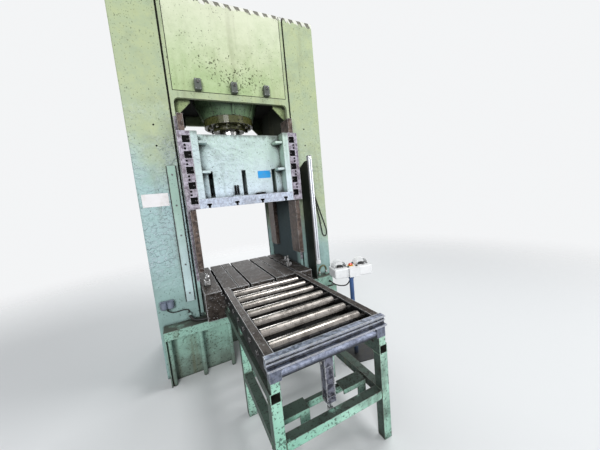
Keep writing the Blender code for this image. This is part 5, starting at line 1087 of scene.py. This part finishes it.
def stand(place, towards=(0, 0, 1), turn=0.0):
    """A matrix that stands a part's Z along a direction at a place, turned about it."""
    aim = Vector(towards).to_track_quat("Z", "Y").to_matrix().to_4x4()
    return Matrix.Translation(place) @ aim @ Matrix.Rotation(turn, 4, "Z")


def repeat(part, places):
    """The part at each place: every point times every matrix in one product."""
    points, faces = part
    moves = np.array([np.array(place) for place in places])
    moved = np.einsum("kij,nj->kni", moves[:, :3, :3], points) + moves[:, None, :3, 3]
    starts = [k * len(points) for k in range(len(moves))]
    return moved.reshape(-1, 3), [[v + start for v in face] for start in starts for face in faces]


def row(name, part, places, finish, body="frame"):
    """One object with the part at each place."""
    return make(name, repeat(part, places), body, finish)


def merge(parts):
    """Several parts as one."""
    points, faces, count = [], [], 0
    for more_points, more_faces in parts:
        points.append(more_points)
        faces += [[v + count for v in face] for face in more_faces]
        count += len(more_points)
    return np.vstack(points), faces


FRONTWARD = (0, -1, 0)
TURN_STEP = 2.4
print("screw heads turn by", TURN_STEP, "radians from one to the next")

# %% [markdown]
# Bolts on the frame. The guard bar is held by five bolts down its middle, the flange of the
# right wing by five, and the two edge strips beside the window by small low socket screws.
# Their heights divide each bar evenly, measured from its own box.
# Along both sides of the guard bar runs a dark round bead, painted shadow beside the bar.

# %% Bolts on bars, wing and strips


def down_the_middle(node, count, inset):
    """Places down the front face of an upright bar, an inset from both of its ends."""
    low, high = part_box(node)
    heights = np.linspace(low.z + inset, high.z - inset, count)
    return [stand(((low.x + high.x) / 2, low.y, z), FRONTWARD, TURN_STEP * k) for k, z in enumerate(heights)]


bar_places = down_the_middle("guard_bar_left", 5, 0.09)
row("guard_bar_bolts", socket_head(0.0085, 0.006), bar_places, black_bolt)
bar_low, bar_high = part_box("guard_bar_left")
# A dark bead on each side of the guard bar: painted shadow along its edges.
shadow_beads = []
for x in (bar_low.x - 0.0035, bar_high.x + 0.0035):
    shadow_bead_y = bar_high.y - 0.003
    line = np.linspace((x, shadow_bead_y, bar_low.z + 0.004), (x, shadow_bead_y, bar_high.z - 0.004), 60)
    shadow_beads.append(skin(circles(line, 0.0052, 8)))
make("guard_bar_shadow_bead", merge(shadow_beads), "frame", seal_rubber)
strip_places = down_the_middle("edge_strip_left", 8, 0.06) + down_the_middle("edge_strip_right", 8, 0.06)
row("edge_strip_screws", socket_head(0.0055, 0.003), strip_places, black_bolt)
WING_FLANGE = 0.0083
wing_low, wing_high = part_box("guard_wing_right")
wing_places = [
    stand((wing_high.x - 0.021, wing_high.y - WING_FLANGE, z), FRONTWARD, TURN_STEP * k)
    for k, z in enumerate(np.linspace(wing_low.z + 0.08, wing_high.z - 0.20, 5))
]
row("guard_wing_bolts", bolt_head(0.013), wing_places, bolt_steel)
print("bar bolts at heights", [round(place.translation.z, 2) for place in bar_places], "m")

# %% [markdown]
# Guides. Each L-shaped guide plate is clamped to the slide by pairs of low socket screws
# between its five windows, and each window shows a setting screw with its lock nut, which
# presses the plate against its rail. A dark pad closes the back of each window. All of them
# move with the slide.

# %% Screws of the guide plates
GUIDE_WINDOW_X = 0.55
GUIDE_SCREW_X = 0.568
GUIDE_SCREW_SPREAD = 0.017
GUIDE_FIRST = 1.785
GUIDE_PITCH = 0.147
guide_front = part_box("guide_plate_left")[0].y
rail_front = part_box("gib_rail_front_left")[0].y - 0.0006
guide_depth = 0.7 * (rail_front - guide_front)
clamp_places = []
setting_places = []
pad_places = []
for side in (-1, 1):
    for k in range(4):
        for spread in (-GUIDE_SCREW_SPREAD, GUIDE_SCREW_SPREAD):
            place = (side * GUIDE_SCREW_X, guide_front - 0.0002, GUIDE_FIRST + (k + 0.5) * GUIDE_PITCH + spread)
            clamp_places.append(stand(place, FRONTWARD, TURN_STEP * k))
    for k in range(5):
        height = GUIDE_FIRST + k * GUIDE_PITCH
        window_side = side * (GUIDE_WINDOW_X - 0.034)
        setting_places.append(stand((window_side, guide_front + 0.016, height), (side, 0, 0), TURN_STEP * k))
        pad_places.append(stand((side * GUIDE_WINDOW_X, guide_front + guide_depth - 0.0003, height), FRONTWARD))
row("guide_clamp_screws", socket_head(0.0100, 0.004), clamp_places, black_oxide, "slide")
row("guide_window_pads", plate(0.066, 0.066, 0.003, 0.006), pad_places, black_oxide, "slide")
setting_screw = turned([
    (hexagon(0.019), 0.0), (hexagon(0.019), 0.007), (0.0085, 0.008), (0.0045, 0.008), (0.0045, 0.020),
    (hexagon(0.009), 0.020), (hexagon(0.009), 0.025),
])
row("guide_setting_screws", setting_screw, setting_places, black_bolt, "slide")
print("guide windows are", round(guide_depth * 1000, 1), "mm deep")

# %% [markdown]
# Tag and sign plate. The slide carries a small blue plate and the left upright a pale one.
# Both are bare. Each is thin sheet with rounded corners, held by dome-headed rivets.

# %% Bare plates with their rivets


def riveted(name, place, width, height, thick, body, finish, inset=0.008):
    """A bare plate on a face that looks forward, with a rivet at each corner."""
    row(name, plate(width, height, thick), [stand(place, FRONTWARD)], finish, body)
    x, y, z = place
    across, up = width / 2 - inset, height / 2 - inset
    rivets = [stand((x + i * across, y - thick, z + j * up), FRONTWARD) for i in (-1, 1) for j in (-1, 1)]
    row(name + "_rivets", dome(0.003, 0.0016), rivets, bolt_steel, body)


SLIDE_PANEL_Y = 0.300
FACE_Y = 0.310
riveted("slide_blue_tag", (0.235, SLIDE_PANEL_Y - 0.0002, 2.018), 0.150, 0.082, 0.0016, "slide", blue_plate)
riveted("upright_sign_plate", (-0.885, FACE_Y - 0.0002, 1.825), 0.230, 0.125, 0.0018, "frame", pale_plate, 0.010)
print("two bare plates, with four rivets each")

# %% [markdown]
# Light curtain. The aluminium column gets the parts that make it a light curtain: a
# lens strip down its groove, a moulded end cap, and two clips that hold it to the wing.

# %% Lens strip, end cap and clips of the light curtain
curtain_low, curtain_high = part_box("light_curtain")
curtain_x, curtain_y, curtain_z = (curtain_low + curtain_high) / 2
strip = plate(0.0132, curtain_high.z - curtain_low.z - 0.06, 0.003, 0.001, 0.0004)
row("curtain_lens_strip", strip, [stand((curtain_x, curtain_low.y + 0.0068, curtain_z), FRONTWARD)], smoked_lens)
cap = plate(0.044, 0.054, 0.006, 0.006, 0.002)
row("curtain_end_cap", cap, [stand((curtain_x, curtain_y, curtain_high.z + 0.0003))], black_plastic)
clip_heights = (curtain_low.z + 0.16, curtain_high.z - 0.16)
clip_places = [stand((curtain_high.x + 0.0003, curtain_y, z), (1, 0, 0)) for z in clip_heights]
row("curtain_clips", plate(0.050, 0.030, 0.003, 0.003), clip_places, black_plastic)
clip_tops = [place @ Matrix.Translation((0, 0, 0.003)) for place in clip_places]
row("curtain_clip_screws", socket_head(0.004, 0.004), clip_tops, bolt_steel)
print("light curtain is", round(curtain_high.z - curtain_low.z, 3), "m long")

# %% [markdown]
# Switch boxes and sockets. The three cast boxes over the window are limit switches: each
# has a domed lamp lens on its cap and four lid screws. The socket pair has a screw at each
# corner of its base.

# %% Lenses and lid screws
lens_places = []
lid_places = []
for label in ("left", "middle", "right"):
    low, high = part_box("switch_box_" + label)
    x = (low.x + high.x) / 2
    lens_places.append(stand((x, low.y, low.z + 0.68 * (high.z - low.z)), FRONTWARD))
    for i in (-1, 1):
        for j in (0.012, 0.096):
            lid_places.append(stand((x + i * 0.022, low.y + 0.008, low.z + j), FRONTWARD, TURN_STEP * j * 100))
row("switch_lenses", dome(0.0115, 0.004), lens_places, lens_glass)
row("switch_lid_screws", dome(0.0032, 0.0018), lid_places, bolt_steel)
socket_low, socket_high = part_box("socket_pair")
socket_places = [
    stand((x, FACE_Y - 0.0103, z), FRONTWARD)
    for x in (socket_low.x + 0.004, socket_high.x - 0.004)
    for z in (socket_low.z + 0.006, socket_high.z - 0.006)
]
row("socket_screws", dome(0.003, 0.0016), socket_places, bolt_steel)
print(len(lens_places), "lenses and", len(lid_places) + len(socket_places), "lid screws")

# %% [markdown]
# Rollers. A tube roller turns on its axle in bearings pressed into its ends, so each end
# shows a dark seal ring. The rings ride with their rollers.

# %% Seal rings of the rollers
ROLLERS = range(1, 8)
seal_ring = turned([(0.034, 0.0), (0.034, 0.0014), (0.030, 0.0022), (0.0145, 0.0022), (0.0145, 0.0)], loop=True)
for i in ROLLERS:
    low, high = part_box("roller_%d" % i)
    y, z = (low.y + high.y) / 2, (low.z + high.z) / 2
    ends = [stand((high.x + 0.0002, y, z), (1, 0, 0)), stand((low.x - 0.0002, y, z), (-1, 0, 0))]
    row("roller_seals_%d" % i, seal_ring, ends, seal_rubber, "roller_body_%d" % i)
print("seal rings on", len(ROLLERS), "rollers")

# %% [markdown]
# Welds. The table stand is welded from square tube, and a weld shows even under thick paint
# as a rippled bead in every inner corner. The beads follow the joints of the stand, which
# are the same on both sides, so each joint is written once and mirrored.

# %% Weld beads of the table stand
LEG_IN, LEG_OUT = 0.356, 0.420
BRACKET_IN, BRACKET_OUT = 0.355, 0.410
BEAM_LOW, BEAM_TOP = 0.641, 0.705
STRETCHER_LOW, STRETCHER_TOP = 0.320, 0.380
FRONT_LEG, REAR_LEG, FAR_BRACKET, LEG_HALF = -1.263, -0.563, -0.0753, 0.032
MEMBER_Y, MEMBER_HALF = -1.078, 0.016
beads = []
for side in (-1, 1):
    inner, outer = side * LEG_IN, side * LEG_OUT
    for leg in (FRONT_LEG, REAR_LEG):
        front, back = leg - LEG_HALF, leg + LEG_HALF
        for edge in (front, back):
            if edge > FRONT_LEG - LEG_HALF + 0.001:
                beads.append(((inner, edge, BEAM_LOW), (outer, edge, BEAM_LOW)))
        beads.append(((inner, front, BEAM_LOW), (inner, back, BEAM_LOW)))
        beads.append(((outer, front, BEAM_LOW), (outer, back, BEAM_LOW)))
        beads.append(((inner, front, STRETCHER_TOP), (inner, back, STRETCHER_TOP)))
        beads.append(((inner, front + 0.001, STRETCHER_LOW), (inner, front + 0.001, STRETCHER_TOP)))
    for edge in (FRONT_LEG + LEG_HALF, REAR_LEG - LEG_HALF):
        beads.append(((inner, edge, STRETCHER_TOP), (outer, edge, STRETCHER_TOP)))
        beads.append(((outer, edge, STRETCHER_LOW), (outer, edge, STRETCHER_TOP)))
        beads.append(((inner, edge, STRETCHER_LOW), (inner, edge, STRETCHER_TOP)))
    for edge in (MEMBER_Y - MEMBER_HALF, MEMBER_Y + MEMBER_HALF):
        beads.append(((inner, edge, STRETCHER_LOW), (inner, edge, STRETCHER_TOP - 0.010)))
    inner, outer = side * BRACKET_IN, side * BRACKET_OUT
    for bracket in (REAR_LEG, FAR_BRACKET):
        front, back = bracket - LEG_HALF, bracket + LEG_HALF
        for x in (inner, outer):
            beads.append(((x, front, BEAM_TOP), (x, back, BEAM_TOP)))
        for edge in (front, back):
            beads.append(((inner, edge, BEAM_TOP), (outer, edge, BEAM_TOP)))
make("table_stand_welds", merge([weld(start, end) for start, end in beads]), "frame", weld_steel)
print(len(beads), "weld beads on the stand")

# %% [markdown]
# Air cylinder. The square cylinder under the table's front is held together by four tie
# rods: their nuts stand on its lower head, with a wiper ring round the rod and a plugged
# port on the side of each head.

# %% Nuts, wiper and ports of the air cylinder
UPPER_PORT_Z = 0.678
DOWNWARD = (0, 0, -1)
air_low, air_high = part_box("air_cylinder")
air_y = (air_low.y + air_high.y) / 2
reach = (air_high.x - air_low.x) / 2 - 0.004
nut_places = [stand((i * reach, air_y + j * reach, air_low.z), DOWNWARD) for i in (-1, 1) for j in (-1, 1)]
row("air_cylinder_nuts", bolt_head(0.008, washer=False), nut_places, bolt_steel)
wiper = turned([(0.022, 0.0), (0.022, 0.003), (0.019, 0.005), (0.0155, 0.005), (0.0155, 0.0)], loop=True)
row("air_cylinder_wiper", wiper, [stand((0, air_y, air_low.z), DOWNWARD)], seal_rubber)
port_places = [stand((air_low.x, air_y, z), (-1, 0, 0)) for z in (air_low.z + 0.022, UPPER_PORT_Z)]
row("air_cylinder_ports", bolt_head(0.017), port_places, bolt_steel)
print(len(nut_places), "nuts and", len(port_places), "ports on the air cylinder")

# %% [markdown]
# Controls. The two-hand stand needs what a hand looks for: a yellow collar round the stop
# button, bezels round the palm buttons, small rotary switches and bare label plates on the
# lid, and lid screws. They are placed in the stand's own frame, which is turned 12 degrees.
# Collar and bezels lie outside the buttons' heads, so a pressed button meets nothing.

# %% Details of the control stand
LID = 0.9802


def on_console(x, y):
    """A place on the control stand's lid, in the stand's own frame."""
    return CONSOLE_TURN @ stand((x, y, LID))


def raised_ring(inner, outer, height, chamfer):
    """A flat ring whose upper edges are chamfered."""
    side = height - chamfer
    return turned([
        (outer, 0.0), (outer, side), (outer - 0.0015, height), (inner + 0.0015, height), (inner, side), (inner, 0.0),
    ], loop=True, sides=36)


row("stop_collar", raised_ring(0.0225, 0.0300, 0.0045, 0.0015), [on_console(0, 0)], yellow_plastic)
palm_places = [on_console(-0.12, 0), on_console(0.12, 0)]
row("palm_bezels", raised_ring(0.0315, 0.0370, 0.0050, 0.0020), palm_places, bolt_steel)
knob = turned([(0.0115, 0.0), (0.0115, 0.003), (0.0095, 0.004), (0.0085, 0.014), (0.007, 0.015)])
knob_spots = [(-0.045, 0.052), (0.045, 0.052), (-0.046, -0.048), (0.046, -0.048)]
row("console_knobs", knob, [on_console(x, y) for x, y in knob_spots], black_plastic)
label_plate = plate(0.026, 0.010, 0.0008, 0.0015, 0.0003)
row("console_labels", label_plate, [on_console(x, y + 0.021) for x, y in knob_spots], cast_aluminium)
lid_spots = [(i * 0.192, j) for i in (-1, 1) for j in (-0.066, 0.088)]
row("console_lid_screws", dome(0.0042, 0.0022), [on_console(x, y) for x, y in lid_spots], bolt_steel)
print(len(knob_spots), "rotary switches with bare labels on the lid")

# %% [markdown]
# Clamps and valve. The clamp studs are threaded, which is a profile that goes in and out
# every 2 mm. The valve block has socket screws at its corners and crimped ferrules on its
# hose.

# %% Threads, ferrules and valve screws


def thread(radius, low, high, pitch=0.002):
    """A thread seen as rings: the radius goes from crest to root once a pitch."""
    levels = np.arange(low, high, pitch / 2)
    return turned([(radius + (0.0003 if k % 2 else -0.0005), z) for k, z in enumerate(levels)], sides=20)


studs = []
for label, x, y in (("left", -0.522, 0.325), ("right", 0.415, 0.365)):
    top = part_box("die_clamp_" + label)[1].z
    studs.append(repeat(thread(0.0115, top - 0.036, top + 0.0006), [stand((x, y, 0.0))]))
make("clamp_stud_threads", merge(studs), "frame", bolt_steel)
HOSE_RADIUS = 0.012
hose_low, hose_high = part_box("valve_hose")
ferrule = turned([
    (0.0128, 0.002), (0.0158, 0.003), (0.0158, 0.016), (0.0146, 0.018), (0.0158, 0.020), (0.0158, 0.024),
    (0.0128, 0.026),
], loop=True)
hose_ends = (hose_low.x + HOSE_RADIUS, hose_high.x - HOSE_RADIUS)
hose_places = [stand((x, hose_high.y - HOSE_RADIUS, hose_low.z)) for x in hose_ends]
row("valve_ferrules", ferrule, hose_places, bolt_steel)
valve_low, valve_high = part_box("valve_block")
block_spots = [
    (x, z) for x in (valve_low.x + 0.02, valve_high.x - 0.02) for z in (valve_low.z + 0.02, valve_low.z + 0.115)
]
block_places = [stand((x, valve_low.y, z), FRONTWARD, TURN_STEP * k) for k, (x, z) in enumerate(block_spots)]
row("valve_block_screws", socket_head(0.0070, 0.006), block_places, black_bolt)
print(len(studs), "threads,", len(hose_places), "ferrules and", len(block_places), "valve screws")

# %% [markdown]
# Pins and strip on the slide. Two black pins stand on the ledge above the platen. Each is
# ground, chamfered at its top and sits in its block. Beside them a dark clamping strip with
# two screws lies on the ledge.

# %% Pins and strip on the slide's ledge
PLATEN_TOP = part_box("slide_platen")[1].z
LEDGE_Y = SLIDE_PANEL_Y - 0.020
pin_places = [stand((x, SLIDE_PANEL_Y - 0.012, PLATEN_TOP + 0.0145)) for x in (-0.113, -0.083)]
pin = turned([(0.0086, 0.0), (0.0086, 0.104), (0.0070, 0.1068), (0.0030, 0.1068), (0.0024, 0.1050)])
row("slide_pin_sleeves", pin, pin_places, black_oxide, "slide")
ledge_strip = plate(0.105, 0.030, 0.022, 0.004, 0.002)
row("ledge_strip", ledge_strip, [stand((0.165, LEDGE_Y, PLATEN_TOP + 0.0004))], black_oxide, "slide")
ledge_screws = [stand((x, LEDGE_Y, PLATEN_TOP + 0.0222)) for x in (0.135, 0.195)]
row("ledge_strip_screws", socket_head(0.006, 0.005), ledge_screws, bolt_steel, "slide")
print("ledge at height", round(PLATEN_TOP, 3), "m")
